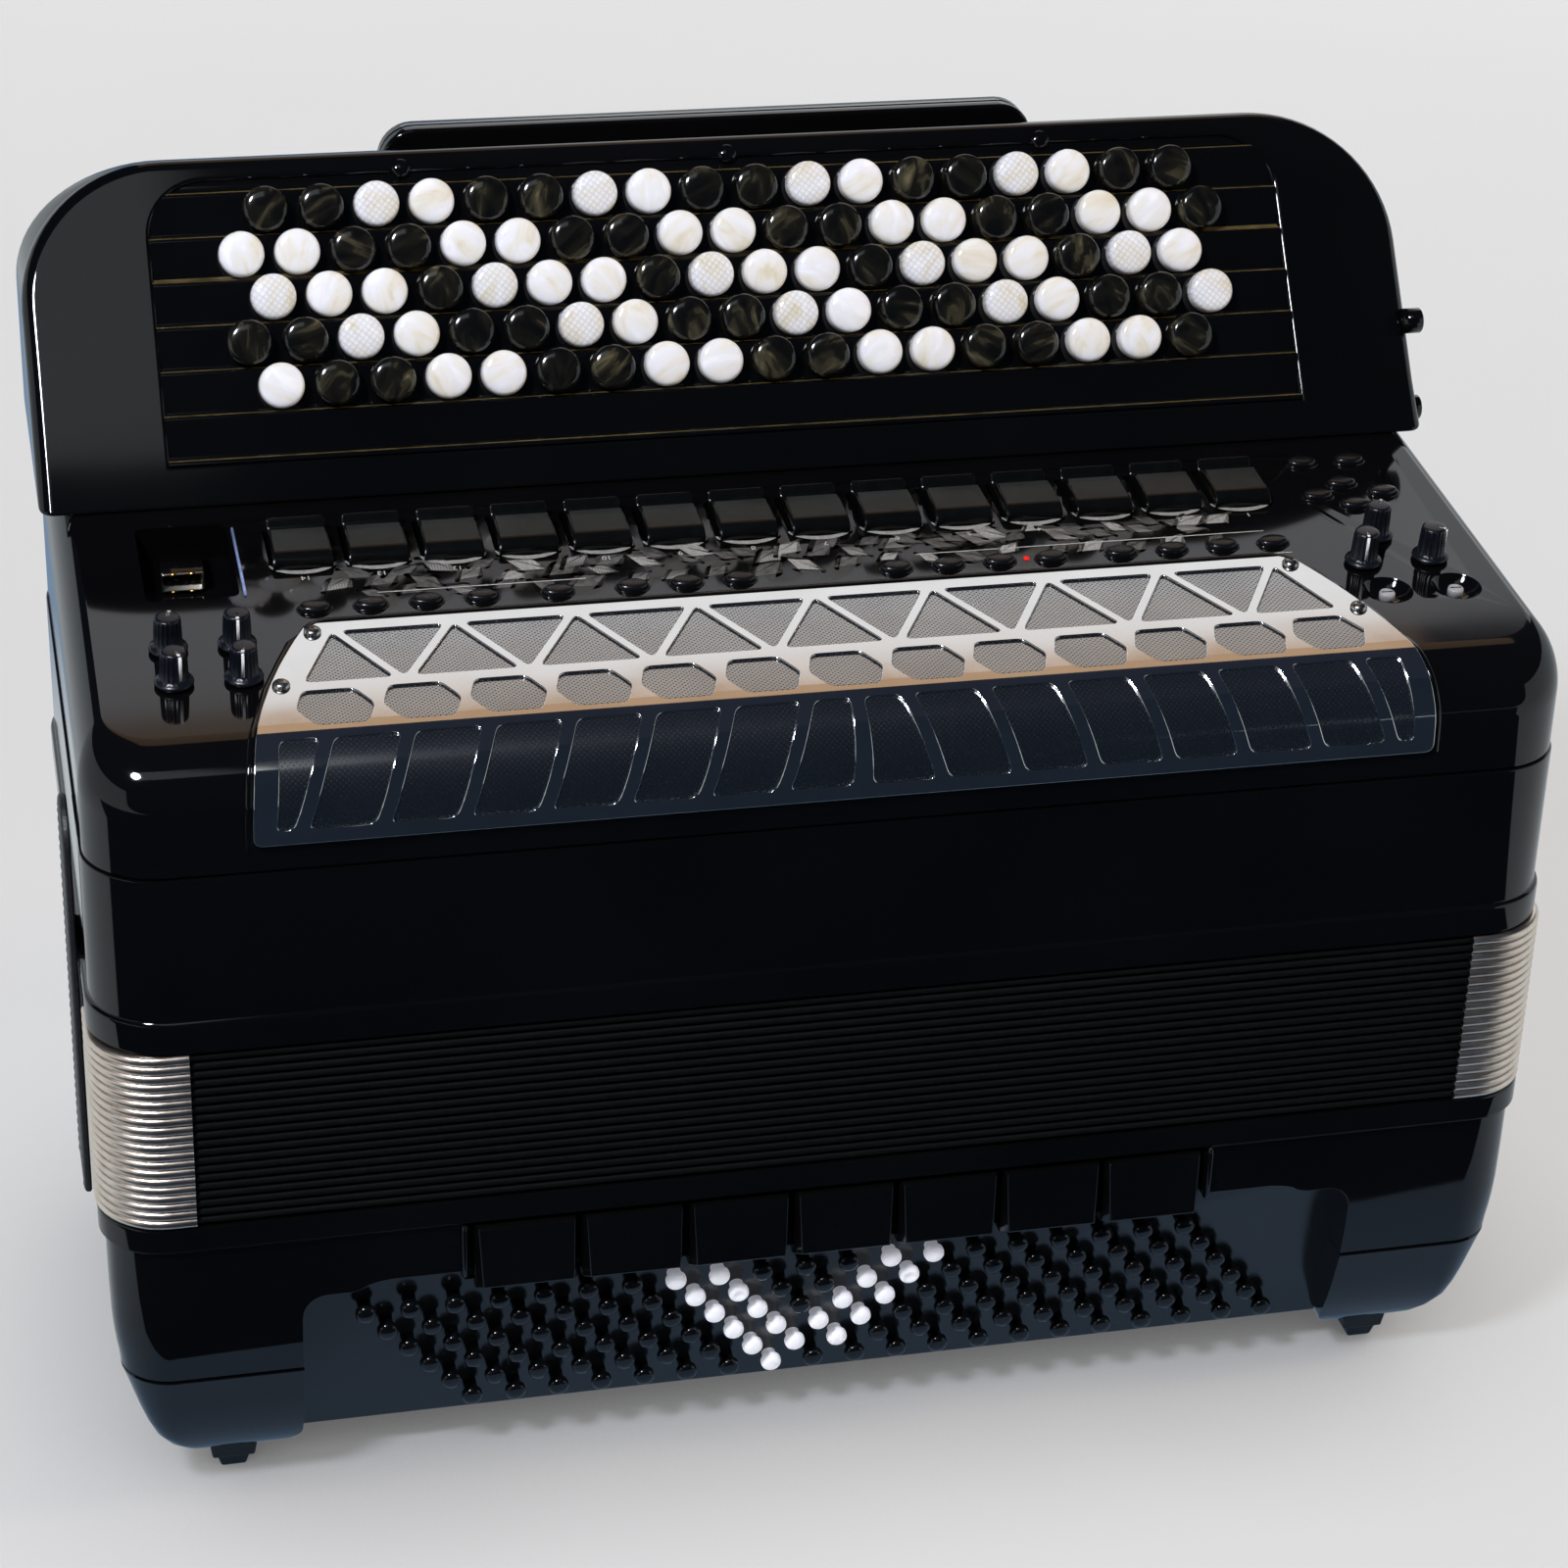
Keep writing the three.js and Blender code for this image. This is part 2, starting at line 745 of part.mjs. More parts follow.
// One oval push button, or the hole round it, square to the panel
function oval(grow, low, high) {
  const [half_x, half_y] = [oval_half_length + grow, oval_half_width + grow];
  const shape = new THREE.Shape().absellipse(0, 0, half_x, half_y, 0, 2 * Math.PI);
  const outline = new THREE.Shape(shape.getPoints(cap_sides).slice(0, -1));
  const geometry = new THREE.ExtrudeGeometry(outline, { depth: high - low, bevelEnabled: false });
  return solid(geometry.translate(0, 0, low));
}

const rod = (radius, low, high, sides = cap_sides) =>
  turned(
    [
      [0, low],
      [radius, low],
      [radius, high],
      [0, high],
    ],
    sides,
  );

// Register keys: rocking keys with a scooped rear, pivoting at the back
const register_x = (i) => (i - (register_count - 1) / 2) * register_pitch;

function register_hole(i) {
  const half = register_width / 2 + register_clearance / 2;
  const length = register_length / 2 + register_clearance;
  const hole = box(-half, half, -length, length, -register_depth - cut_overrun, cut_overrun);
  return on_panel(hole, register_x(i), register_middle);
}

// Treble casing: the upper shell with the rounded front edge and the sloping control panel
function treble_casing() {
  const top_ring = ([inset, drop], wall) =>
    plan(
      treble_outline,
      inset * top_edge_radius + wall,
      inset * side_edge_radius + wall,
      wall,
      (y) => panel_height(y) - drop * top_edge_radius,
    );
  const outer = loft([
    ring(treble_outline, 0, casing_foot),
    ...round_shares.map((share) => top_ring(share, 0)),
  ]);
  const inner = loft([
    ring(treble_outline, body_wall, casing_foot - cut_overrun),
    ...round_shares.map((share) =>
      top_ring(share, body_wall).map((p) => p.clone().setZ(p.z - panel_thickness)),
    ),
  ]);
  let shell = outer.subtract(inner);
  const bosses = Object.values(trim_places).map((p) =>
    on_panel(rod(bowl_radius + bowl_boss, -bowl_depth - bowl_floor, -panel_thickness / 2), ...p),
  );
  const pocket = (grow, low, high) =>
    on_panel(
      box(
        -pocket_size.x / 2 - grow,
        pocket_size.x / 2 + grow,
        -pocket_size.y / 2 - grow,
        pocket_size.y / 2 + grow,
        low,
        high,
      ),
      pocket_middle.x,
      pocket_middle.y,
    );
  const tub = pocket(pocket_wall, -pocket_depth - pocket_wall, -panel_thickness / 2);
  shell = joined([shell, ...bosses, tub]);
  const bowl = turned(
    [
      [0, -bowl_depth],
      [trim_radius + knob_clearance * 2, -bowl_depth],
      [bowl_radius, 0],
      [bowl_radius, cut_overrun],
      [0, cut_overrun],
    ],
    knob_sides,
  );
  const through = (radius) => rod(radius, -knob_depth - cut_overrun, cut_overrun);
  const window_half = grille_top_half_width - grille_window_margin;
  const sound_opening = box(
    -window_half,
    window_half,
    top_edge_radius + grille_window_margin,
    grille_top - grille_window_margin,
    front_top - top_edge_radius - cut_overrun,
    panel_height(grille_top) + cut_overrun,
  );
  const front_opening = box(
    -window_half,
    window_half,
    -cut_overrun,
    body_wall + cut_overrun,
    casing_foot + grille_foot_height + grille_window_margin / 2,
    front_top - top_edge_radius,
  );
  const cuts = [
    pocket(0, -pocket_depth, cut_overrun),
    sound_opening,
    front_opening,
    ...Object.values(trim_places).flatMap((p) => [
      on_panel(bowl, ...p),
      on_panel(through(trim_radius / 2 + knob_clearance), ...p),
    ]),
    ...Object.values(knob_places).map((p) => on_panel(through(knob_shaft_radius + knob_clearance), ...p)),
    ...[...oval_front_places, ...oval_rear_places].map((p) =>
      on_panel(oval(oval_clearance, -panel_thickness - cut_overrun, cut_overrun), ...p),
    ),
    ...Array.from({ length: register_count }, (_, i) => register_hole(i)),
  ];
  return shell.subtract(joined(cuts));
}
add("treble_casing", treble_casing(), gloss_black);

for (let i = 0; i < register_count; i++) {
  const half = register_length / 2;
  const section = [
    [-half, -register_depth / 2],
    [half - register_swing_room, -register_depth],
    [half - register_swing_room, 0],
    [half, register_height - register_scoop],
    [half, register_height],
    [half - register_scoop, register_height],
    [half - 2 * register_scoop, register_height - register_scoop],
    [half - 3 * register_scoop, register_height],
    [-half + register_scoop, register_height - register_scoop / 4],
    [-half, register_height - register_scoop],
  ];
  const key = across(section, -register_width / 2, register_width / 2);
  add("treble_register_" + (i + 1), on_panel(key, register_x(i), register_middle), gloss_black);
}

for (const [name, at] of Object.entries(knob_places)) {
  const knob = turned(
    [
      [0, -knob_depth],
      [knob_shaft_radius, -knob_depth],
      [knob_shaft_radius, knob_lift],
      [knob_skirt_radius, knob_lift],
      [knob_skirt_radius, knob_skirt_height],
      [knob_radius, knob_skirt_height + knob_lift],
      [knob_radius, knob_height],
      [0, knob_height],
    ],
    knob_sides,
  );
  add(name, on_panel(knob, ...at), rubber_black);
}

for (const [name, at] of Object.entries(trim_places)) {
  const trim = turned(
    [
      [0, -knob_depth],
      [trim_radius / 2, -knob_depth],
      [trim_radius / 2, -bowl_depth + seat_gap],
      [trim_radius, -bowl_depth + seat_gap],
      [trim_radius, -bowl_depth + trim_height],
      [0, -bowl_depth + trim_height],
    ],
    knob_sides,
  );
  add(name, on_panel(trim, ...at), steel);
}

// Oval push buttons, moulded in one piece with the keypad under the panel
function oval_buttons(places) {
  const carrier_top = -panel_thickness - oval_travel / 2;
  const xs = places.map((p) => p[0]);
  const ys = places.map((p) => p[1]);
  const low_x = Math.min(...xs) - oval_half_length;
  const high_x = Math.max(...xs) + oval_half_length;
  const low_y = Math.min(...ys) - oval_half_width;
  const high_y = Math.max(...ys) + oval_half_width;
  const middle = [(low_x + high_x) / 2, (low_y + high_y) / 2];
  const carrier = on_panel(
    box(
      (low_x - high_x) / 2,
      (high_x - low_x) / 2,
      (low_y - high_y) / 2,
      (high_y - low_y) / 2,
      carrier_top - oval_carrier,
      carrier_top,
    ),
    ...middle,
  );
  const buttons = places.map((p) => on_panel(oval(0, carrier_top - oval_carrier / 2, oval_height), ...p));
  return joined([carrier, ...buttons]);
}
add("oval_buttons_front", oval_buttons(oval_front_places), rubber_black);
add("oval_buttons_rear", oval_buttons(oval_rear_places), rubber_black);

// Memory stick socket, lying in the pocket with its mouth to the front
function memory_socket() {
  const half = new THREE.Vector3().copy(socket_size).multiplyScalar(1 / 2);
  const floor = -pocket_depth + seat_gap;
  const shell = box(-half.x, half.x, -half.y, half.y, floor, floor + socket_size.z);
  const mouth = box(
    -socket_mouth.x / 2,
    socket_mouth.x / 2,
    -half.y - cut_overrun,
    -half.y + socket_mouth.y,
    floor + (socket_size.z - socket_mouth.z) / 2,
    floor + (socket_size.z + socket_mouth.z) / 2,
  );
  const y = pocket_middle.y + pocket_size.y / 2 - half.y - socket_setback;
  const local = shell.subtract(mouth);
  return on_panel(local, pocket_middle.x, y);
}
add("memory_socket", memory_socket(), steel);

// Grille: one bent sheet over the front edge, wider at its foot
function grille() {
  const bend = round_shares.map(([inset, drop]) => {
    const y = inset * top_edge_radius;
    return [y, panel_height(y) - drop * top_edge_radius];
  });
  const path = [[0, casing_foot + grille_foot_height], ...bend, [grille_top, panel_height(grille_top)]];
  const points = path.map(([y, z]) => new THREE.Vector2(y, z));
  const normals = points.map((p, i) => {
    const before = points[Math.max(i - 1, 0)];
    const after = points[Math.min(i + 1, points.length - 1)];
    const run = after.clone().sub(before).normalize();
    return new THREE.Vector2(-run.y, run.x);
  });
  const lengths = points.map((p, i) => (i ? p.distanceTo(points[i - 1]) : 0));
  const total = lengths.reduce((a, b) => a + b);
  let walked = 0;
  const rings = points.map((p, i) => {
    walked += lengths[i];
    const half = THREE.MathUtils.lerp(grille_foot_half_width, grille_top_half_width, walked / total);
    const near = p.clone().addScaledVector(normals[i], grille_clear);
    const far = p.clone().addScaledVector(normals[i], grille_clear + grille_thickness);
    return [
      new THREE.Vector3(-half, near.x, near.y),
      new THREE.Vector3(half, near.x, near.y),
      new THREE.Vector3(half, far.x, far.y),
      new THREE.Vector3(-half, far.x, far.y),
    ];
  });
  return strip(rings);
}

// A solid through four-cornered rings along a bent path
function strip(rings) {
  const faces = [];
  rings.slice(1).forEach((_, k) => {
    const low = 4 * k;
    for (let i = 0; i < 4; i++) {
      const next = (i + 1) % 4;
      faces.push([low + i, low + 4 + next, low + next], [low + i, low + 4 + i, low + 4 + next]);
    }
  });
  const last = 4 * (rings.length - 1);
  faces.push([0, 1, 2], [0, 2, 3], [last, last + 2, last + 1], [last, last + 3, last + 2]);
  const geometry = new THREE.BufferGeometry().setFromPoints(rings.flat());
  geometry.setIndex(faces.flat());
  return solid(geometry);
}
add("grille", grille(), chrome);

// Speaker plate under the grille, with two drivers
function speaker_plate() {
  const half = grille_top_half_width;
  const y0 = top_edge_radius + body_wall;
  const y1 = grille_top - grille_window_margin / 3;
  const top = -panel_thickness - seat_gap;
  const middle = (y0 + y1) / 2;
  const plate = box(-half, half, (y0 - y1) / 2, (y1 - y0) / 2, top - speaker_plate_thickness, top);
  const low = top - speaker_magnet_height;
  const magnet = rod(speaker_magnet_radius, low, top - speaker_plate_thickness / 2, knob_sides);
  const drivers = [-1, 1].map((side) => magnet.translate([side * speaker_spread, 0, 0]));
  return on_panel(joined([plate, ...drivers]), 0, middle);
}
add("speaker_plate", speaker_plate(), satin_black);

// Keyboard housing: an arch with a leaning front, open for the button board
const lean_point = (slant) => [
  housing_foot + slant * Math.sin(housing_lean),
  housing_seat + slant * Math.cos(housing_lean),
];
const housing_top = lean_point(housing_slant_height)[1];

// Outline in X and Z of the housing, drawn in by an inset, from its foot up
function arch(inset, foot) {
  const rise = housing_corner * Math.cos(housing_lean);
  const half = housing_half_width - inset;
  const run = housing_corner - inset;
  const spring = housing_top - rise;
  const shape = new THREE.Shape();
  shape.moveTo(-half, foot);
  shape.lineTo(half, foot);
  shape.lineTo(half, spring);
  shape.absellipse(half - run, spring, run, rise - inset, 0, Math.PI / 2);
  shape.absellipse(-half + run, spring, run, rise - inset, Math.PI / 2, Math.PI);
  return new THREE.Shape(shape.getPoints(corner_steps + 1));
}

// An outline in X and Z swept along Y
function along_y(shape, y0, y1) {
  const geometry = new THREE.ExtrudeGeometry(shape, {
    depth: y1 - y0,
    bevelEnabled: false,
    curveSegments: corner_steps,
  });
  geometry.applyMatrix4(new THREE.Matrix4().set(1, 0, 0, 0, 0, 0, -1, y1, 0, 1, 0, 0, 0, 0, 0, 1));
  return solid(geometry);
}

function wedge(inset, foot_lift) {
  const [y_foot] = lean_point(0);
  const [y_edge, z_edge] = lean_point(housing_slant_height - housing_edge);
  const [y_head, z_head] = lean_point(housing_slant_height);
  const shift = inset / Math.cos(housing_lean);
  const x = housing_half_width + cut_overrun;
  const seat = (y) => panel_height(y) + seat_gap + foot_lift;
  return across(
    [
      [y_foot + shift, seat(y_foot + shift)],
      [housing_back - inset, seat(housing_back - inset)],
      [housing_back - inset, z_head - housing_edge - inset],
      [y_head + housing_edge, z_head - inset],
      [y_edge + shift, z_edge - inset],
    ],
    -x,
    x,
  );
}

function rounded_box(half_width, low, high, radius, y0, y1) {
  const shape = new THREE.Shape();
  shape.moveTo(-half_width + radius, low);
  shape.absarc(half_width - radius, low + radius, radius, -Math.PI / 2, 0);
  shape.absarc(half_width - radius, high - radius, radius, 0, Math.PI / 2);
  shape.absarc(-half_width + radius, high - radius, radius, Math.PI / 2, Math.PI);
  shape.absarc(-half_width + radius, low + radius, radius, Math.PI, 1.5 * Math.PI);
  return along_y(new THREE.Shape(shape.getPoints(corner_steps - 2)), y0, y1);
}

function keyboard_housing() {
  const far = housing_back + cut_overrun;
  const trunk = (inset) =>
    loft(
      [casing_foot, housing_top + cut_overrun].map((height) =>
        plan(treble_outline, 0, inset - housing_overhang, inset + body_depth - housing_back, height),
      ),
    );
  const outer = along_y(arch(0, 0), 0, far).intersect(wedge(0, 0)).intersect(trunk(0));
  const hollow = along_y(arch(housing_wall, 0), 0, far)
    .intersect(wedge(housing_wall, -cut_overrun))
    .intersect(trunk(housing_wall));
  const opening = rounded_box(
    recess_half_width,
    lean_point(recess_foot)[1],
    lean_point(recess_head)[1],
    recess_corner,
    0,
    lean_point(recess_head)[0] + 2 * housing_wall,
  );
  const front_zone = across(
    [
      [0, housing_seat],
      [lean_point(0)[0] + 2 * housing_wall, housing_seat],
      [lean_point(housing_slant_height)[0] + 2 * housing_wall, housing_top],
      [0, housing_top],
    ],
    -recess_half_width,
    recess_half_width,
  );
  const peg_x = housing_half_width + (peg_length - housing_wall) / 2;
  const pegs = peg_rises.map((rise, i) =>
    solid(
      new THREE.CylinderGeometry(peg_radius, peg_radius, housing_wall + peg_length, cap_sides)
        .rotateZ(Math.PI / 2)
        .translate(peg_x, housing_foot + peg_setbacks[i], housing_seat + rise),
    ),
  );
  return joined([outer.subtract(hollow).subtract(opening.intersect(front_zone)), ...pegs]);
}
add("keyboard_housing", keyboard_housing(), gloss_black);

// Stepped button board behind the opening, with one slot for each row
const treble_out = new THREE.Vector3(0, -Math.cos(treble_face_tilt), Math.sin(treble_face_tilt));
const face_up = new THREE.Vector3(0, Math.sin(treble_face_tilt), Math.cos(treble_face_tilt));
const plane_out = new THREE.Vector3(0, -Math.cos(housing_lean), Math.sin(housing_lean));
const plane_down = new THREE.Vector3(0, -Math.sin(housing_lean), -Math.cos(housing_lean));
const first_tops = new THREE.Vector3(0, ...lean_point(first_row_slant)).addScaledVector(
  plane_out,
  first_row_reach,
);
const row_tops = (row) => first_tops.clone().addScaledVector(plane_down, row * treble_row_step);
const row_seat = (row) => row_tops(row).addScaledVector(treble_out, -treble_cap_reach);
const rows = treble_row_counts.length;

function treble_rail(row, margin, thickness, low, high) {
  const seat = row_seat(row);
  const half = ((treble_row_counts[row] - 1) * treble_pitch) / 2 + margin;
  const bar = box(-half, half, -thickness / 2, thickness / 2, low, high);
  return placed(bar, 0, seat.y, seat.z, treble_face_tilt);
}

function button_board() {
  const half_step = (treble_row_step * Math.cos(housing_lean - treble_face_tilt)) / 2;
  const front = [];
  const margin_head = recess_head - first_row_slant + cut_overrun;
  const margin_foot = first_row_slant - (rows - 1) * treble_row_step - recess_foot + cut_overrun;
  for (let row = 0; row < rows; row++) {
    const seat = row_seat(row);
    const up = row === 0 ? margin_head : half_step;
    const down = row === rows - 1 ? margin_foot : half_step;
    front.push(seat.clone().addScaledVector(face_up, up), seat.clone().addScaledVector(face_up, -down));
  }
  const back = [front[0], front.at(-1)].map((p) => p.clone().addScaledVector(treble_out, -board_thickness));
  const outline = [...front, back[1], back[0]].map((p) => [p.y, p.z]);
  const half = recess_half_width - seat_gap;
  const low = lean_point(recess_foot)[1] + seat_gap;
  const high = lean_point(recess_head)[1] - seat_gap;
  const fitted = rounded_box(half, low, high, recess_corner, 0, housing_back);
  let board = across(outline.reverse(), -half, half).intersect(fitted);
  for (let row = 0; row < rows; row++) {
    const slot = treble_rail(
      row,
      rail_margin + rail_clearance,
      treble_rail_thickness + 2 * rail_clearance,
      -2 * treble_rail_depth,
      cut_overrun,
    );
    board = board.subtract(slot);
  }
  return board;
}
add("keyboard_board", button_board(), gloss_black);

// Treble buttons: domed caps on a rail that runs behind the board, one rail for each row
for (let row = 0; row < rows; row++) {
  const seat = row_seat(row);
  const base = treble_cap_reach - treble_cap_length;
  const foot = base + treble_cap_dome;
  const rail = treble_rail(row, rail_margin, treble_rail_thickness, -treble_rail_depth, foot);
  const cap = button_cap(
    treble_cap_radius,
    treble_cap_length,
    treble_cap_dome,
    treble_cap_reach,
    cap_sides,
  );
  const half = (treble_row_counts[row] - 1) / 2;
  const caps = Array.from({ length: treble_row_counts[row] }, (_, i) =>
    placed(cap, (i - half) * treble_pitch, seat.y, seat.z, treble_face_tilt),
  );
  add("treble_row_" + (row + 1), joined([rail, ...caps]), pearl_white);
}

// Back cover: a flat cover over the back of the casing and housing, standing a little above it
add(
  "treble_back_cover",
  box(
    -back_cover_half_width,
    back_cover_half_width,
    housing_back + seat_gap,
    housing_back + seat_gap + back_cover_thickness,
    housing_top + back_cover_rise - back_cover_height,
    housing_top + back_cover_rise,
  ),
  gloss_black,
);

// The origin goes to the middle of the box's width and depth
const extent = new THREE.Box3().setFromObject(model).getCenter(new THREE.Vector3());
model.position.set(-extent.x, -extent.y, 0);

export default model;
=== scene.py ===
"""Digital button accordion, standing on its bass end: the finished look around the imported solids."""
import bpy
import bmesh
import math
import random
from mathutils import Matrix, Vector


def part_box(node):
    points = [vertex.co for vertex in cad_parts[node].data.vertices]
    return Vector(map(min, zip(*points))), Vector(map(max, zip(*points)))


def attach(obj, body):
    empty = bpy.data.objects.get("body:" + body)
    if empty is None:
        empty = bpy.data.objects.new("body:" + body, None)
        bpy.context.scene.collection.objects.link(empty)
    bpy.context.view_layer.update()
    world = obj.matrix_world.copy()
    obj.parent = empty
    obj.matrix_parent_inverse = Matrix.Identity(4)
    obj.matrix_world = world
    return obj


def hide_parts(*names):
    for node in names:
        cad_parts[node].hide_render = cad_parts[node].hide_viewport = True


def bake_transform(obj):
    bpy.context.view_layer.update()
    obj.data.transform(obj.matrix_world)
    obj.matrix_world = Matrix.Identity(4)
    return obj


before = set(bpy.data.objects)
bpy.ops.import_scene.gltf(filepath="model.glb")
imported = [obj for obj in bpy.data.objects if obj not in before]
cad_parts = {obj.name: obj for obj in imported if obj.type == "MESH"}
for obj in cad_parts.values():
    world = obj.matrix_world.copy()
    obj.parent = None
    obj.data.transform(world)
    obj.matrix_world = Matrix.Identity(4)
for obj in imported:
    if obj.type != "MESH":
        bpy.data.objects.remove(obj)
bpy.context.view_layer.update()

# ---------------------------------------------------------------- camera and studio
# A pale table with a low round backdrop, and plain soft lamps above and behind it. Dark cloths and a pale
# screen show only in the gloss of the black casing. The camera stands where the photographer stood.
MM = 0.001
casing_low, casing_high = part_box("treble_casing")
MIDDLE_X = (casing_low.x + casing_high.x) / 2
FRONT_Y = casing_low.y


def at(x, y, z):
    """A place on the instrument in millimetres: from its middle, behind its front, above the floor."""
    return Vector((MIDDLE_X + x * MM, FRONT_Y + y * MM, z * MM))


def hex_colour(text):
    """The linear colour of an sRGB hex value."""
    parts = [int(text[i:i + 2], 16) / 255 for i in (1, 3, 5)]
    return [c / 12.92 if c <= 0.04045 else ((c + 0.055) / 1.055) ** 2.4 for c in parts] + [1.0]


def put(tree, kind, feeds=None, **settings):
    """Adds a node with its settings; feeds gives each input a value or another node's output."""
    made = tree.nodes.new(kind)
    for name, value in settings.items():
        setattr(made, name, value)
    for name, value in (feeds or {}).items():
        if isinstance(value, bpy.types.NodeSocket):
            tree.links.new(value, made.inputs[name])
        else:
            made.inputs[name].default_value = value
    return made


def new_material(name):
    """A material with an empty node tree, and the tree."""
    made = bpy.data.materials.new(name)
    made.use_nodes = True
    made.node_tree.nodes.clear()
    return made, made.node_tree


def ramp(tree, factor, stops):
    """A colour ramp through the stops of place and hex colour."""
    made = put(tree, "ShaderNodeValToRGB", {"Fac": factor})
    elements = made.color_ramp.elements
    while len(elements) < len(stops):
        elements.new(0.5)
    for element, (place, colour) in zip(elements, stops):
        element.position = place
        element.color = hex_colour(colour)
    return made.outputs["Color"]


def object_place(tree):
    """The place on the object, in metres."""
    return put(tree, "ShaderNodeTexCoord").outputs["Object"]


def noise(tree, place, scale, detail=2.0, **more):
    """The value of a noise texture."""
    feeds = {"Vector": place, "Scale": scale, "Detail": detail, **more}
    return put(tree, "ShaderNodeTexNoise", feeds).outputs["Fac"]


def spread(tree, value, low, high, start=0.0, end=1.0):
    """A value that runs from start to end, spread from low to high."""
    feeds = {"Value": value, "From Min": start, "From Max": end, "To Min": low, "To Max": high}
    return put(tree, "ShaderNodeMapRange", feeds).outputs["Result"]


def maths(tree, operation, *values):
    """The result of a calculation with values."""
    return put(tree, "ShaderNodeMath", dict(enumerate(values)), operation=operation).outputs["Value"]


def bump(tree, height, strength, distance, **settings):
    """The tilt of the surface that a height gives."""
    feeds = {"Height": height, "Strength": strength, "Distance": distance}
    return put(tree, "ShaderNodeBump", feeds, **settings).outputs["Normal"]


def mixed(tree, factor, first, second):
    """Two colours mixed by a factor."""
    feeds = {"Factor": factor, "A": first, "B": second}
    return put(tree, "ShaderNodeMix", feeds, data_type="RGBA").outputs["Result"]


def glowing(tree, colour, strength):
    """Light of one colour from the whole surface."""
    return put(tree, "ShaderNodeEmission", {"Color": colour, "Strength": strength}).outputs["Emission"]


def surface(tree, **sockets):
    """A Principled surface that ends the tree; each socket is a value or another node's output."""
    names = {key.replace("_", " "): value for key, value in sockets.items()}
    shader = put(tree, "ShaderNodeBsdfPrincipled", names)
    put(tree, "ShaderNodeOutputMaterial", {"Surface": shader.outputs["BSDF"]})


def speckled(name, scale, detail, colours, roughness, places=(0.3, 0.7), relief=None, **sockets):
    """A material whose two colours follow one noise, as a roughness of two values and a relief do too."""
    made, tree = new_material(name)
    specks = noise(tree, object_place(tree), scale, detail)
    if isinstance(roughness, tuple):
        roughness = spread(tree, specks, *roughness)
    if relief:
        sockets["Normal"] = bump(tree, specks, *relief)
    surface(tree, Base_Color=ramp(tree, specks, list(zip(places, colours))), Roughness=roughness, **sockets)
    return made


def linked(name, data):
    """A new object in the scene."""
    made = bpy.data.objects.new(name, data)
    bpy.context.scene.collection.objects.link(made)
    return made


def object_from(name, vertices, faces, material=None):
    """A smooth mesh object from points and faces, its place in its mesh."""
    mesh = bpy.data.meshes.new(name)
    mesh.from_pydata([tuple(v) for v in vertices], [], faces)
    mesh.validate()
    mesh.shade_smooth()
    if material:
        mesh.materials.append(material)
    return linked(name, mesh)


# Matt white paper, rolled smooth, with clouds of tone about 300 mm wide. The camera sees it glowing pale, with
# painted shade that darkens it towards the instrument and a painted shadow where the instrument shelters it;
# the gloss of the black casing sees a painted reflection of it, blue in front and pale beside.
SEEN_BY_CAMERA, SEEN_IN_GLOSS = 0.72, 0.85
table_paper, tree = new_material("matt white paper")
coordinates = object_place(tree)
paper = ramp(tree, noise(tree, coordinates, 3.0, 4.0), [(0.3, "#DADBDD"), (0.7, "#E3E4E6")])
reach = put(tree, "ShaderNodeVectorMath", {0: coordinates}, operation="LENGTH").outputs["Value"]
# Painted shade: the paper's glow is darker near the instrument and paler far from it
pale = ramp(tree, spread(tree, reach, 0.0, 1.0, 0.2, 3.2), [(0.1, "#D8D8D8"), (0.75, "#F8F8F8")])
# Painted shadow: the glow is dimmed where the instrument shelters the paper, within 100 mm
near = put(tree, "ShaderNodeAmbientOcclusion", {"Distance": 0.1}, samples=3).outputs["AO"]
even = glowing(tree, pale, spread(tree, near, 0.16, 1.12, 0.1, 0.8))
# Painted reflection: in the gloss the table is blue in front of the instrument and pale beside it
on_table = put(tree, "ShaderNodeSeparateXYZ", {"Vector": coordinates}).outputs
beside = spread(tree, maths(tree, "ABSOLUTE", on_table["X"]), 0.0, 1.0, 0.25, 0.45)
rearward = spread(tree, on_table["Y"], 0.0, 1.0, -0.1, 0.0)
within = spread(tree, on_table["Y"], 0.0, 1.0, 0.6, 0.45)
beside = maths(tree, "MAXIMUM", beside, maths(tree, "MULTIPLY", rearward, within))
painted_reflection_glow = glowing(tree, ramp(tree, beside, [(0.0, "#6888A8"), (1.0, "#C4CCD0")]), 1.0)
ray = put(tree, "ShaderNodeLightPath").outputs
shown = put(tree, "ShaderNodeBsdfDiffuse", {"Color": paper}).outputs["BSDF"]
for sight, share, light in (("Is Camera Ray", SEEN_BY_CAMERA, even), ("Is Glossy Ray", SEEN_IN_GLOSS, painted_reflection_glow)):
    seen = maths(tree, "MULTIPLY", ray[sight], share)
    shown = put(tree, "ShaderNodeMixShader", {"Fac": seen, 1: shown, 2: light}).outputs["Shader"]
put(tree, "ShaderNodeOutputMaterial", {"Surface": shown})
FLOOR_SIDES = 72
FLOOR_RINGS = ((2.2, 0.0), (2.5, 0.03), (2.75, 0.12), (2.92, 0.28), (3.0, 0.5), (3.0, 1.5))
around = [2 * math.pi * i / FLOOR_SIDES for i in range(FLOOR_SIDES)]
floor_points = [(0, 0, 0)] + [(radius * math.cos(a), radius * math.sin(a), height)
                              for radius, height in FLOOR_RINGS for a in around]
following = [(i, (i + 1) % FLOOR_SIDES) for i in range(FLOOR_SIDES)]
floor_faces = [(0, 1 + i, 1 + j) for i, j in following]
for low in range(1, 1 + (len(FLOOR_RINGS) - 1) * FLOOR_SIDES, FLOOR_SIDES):
    high = low + FLOOR_SIDES
    floor_faces += [(low + i, high + i, high + j, low + j) for i, j in following]
floor = object_from("studio_floor", floor_points, floor_faces, table_paper)

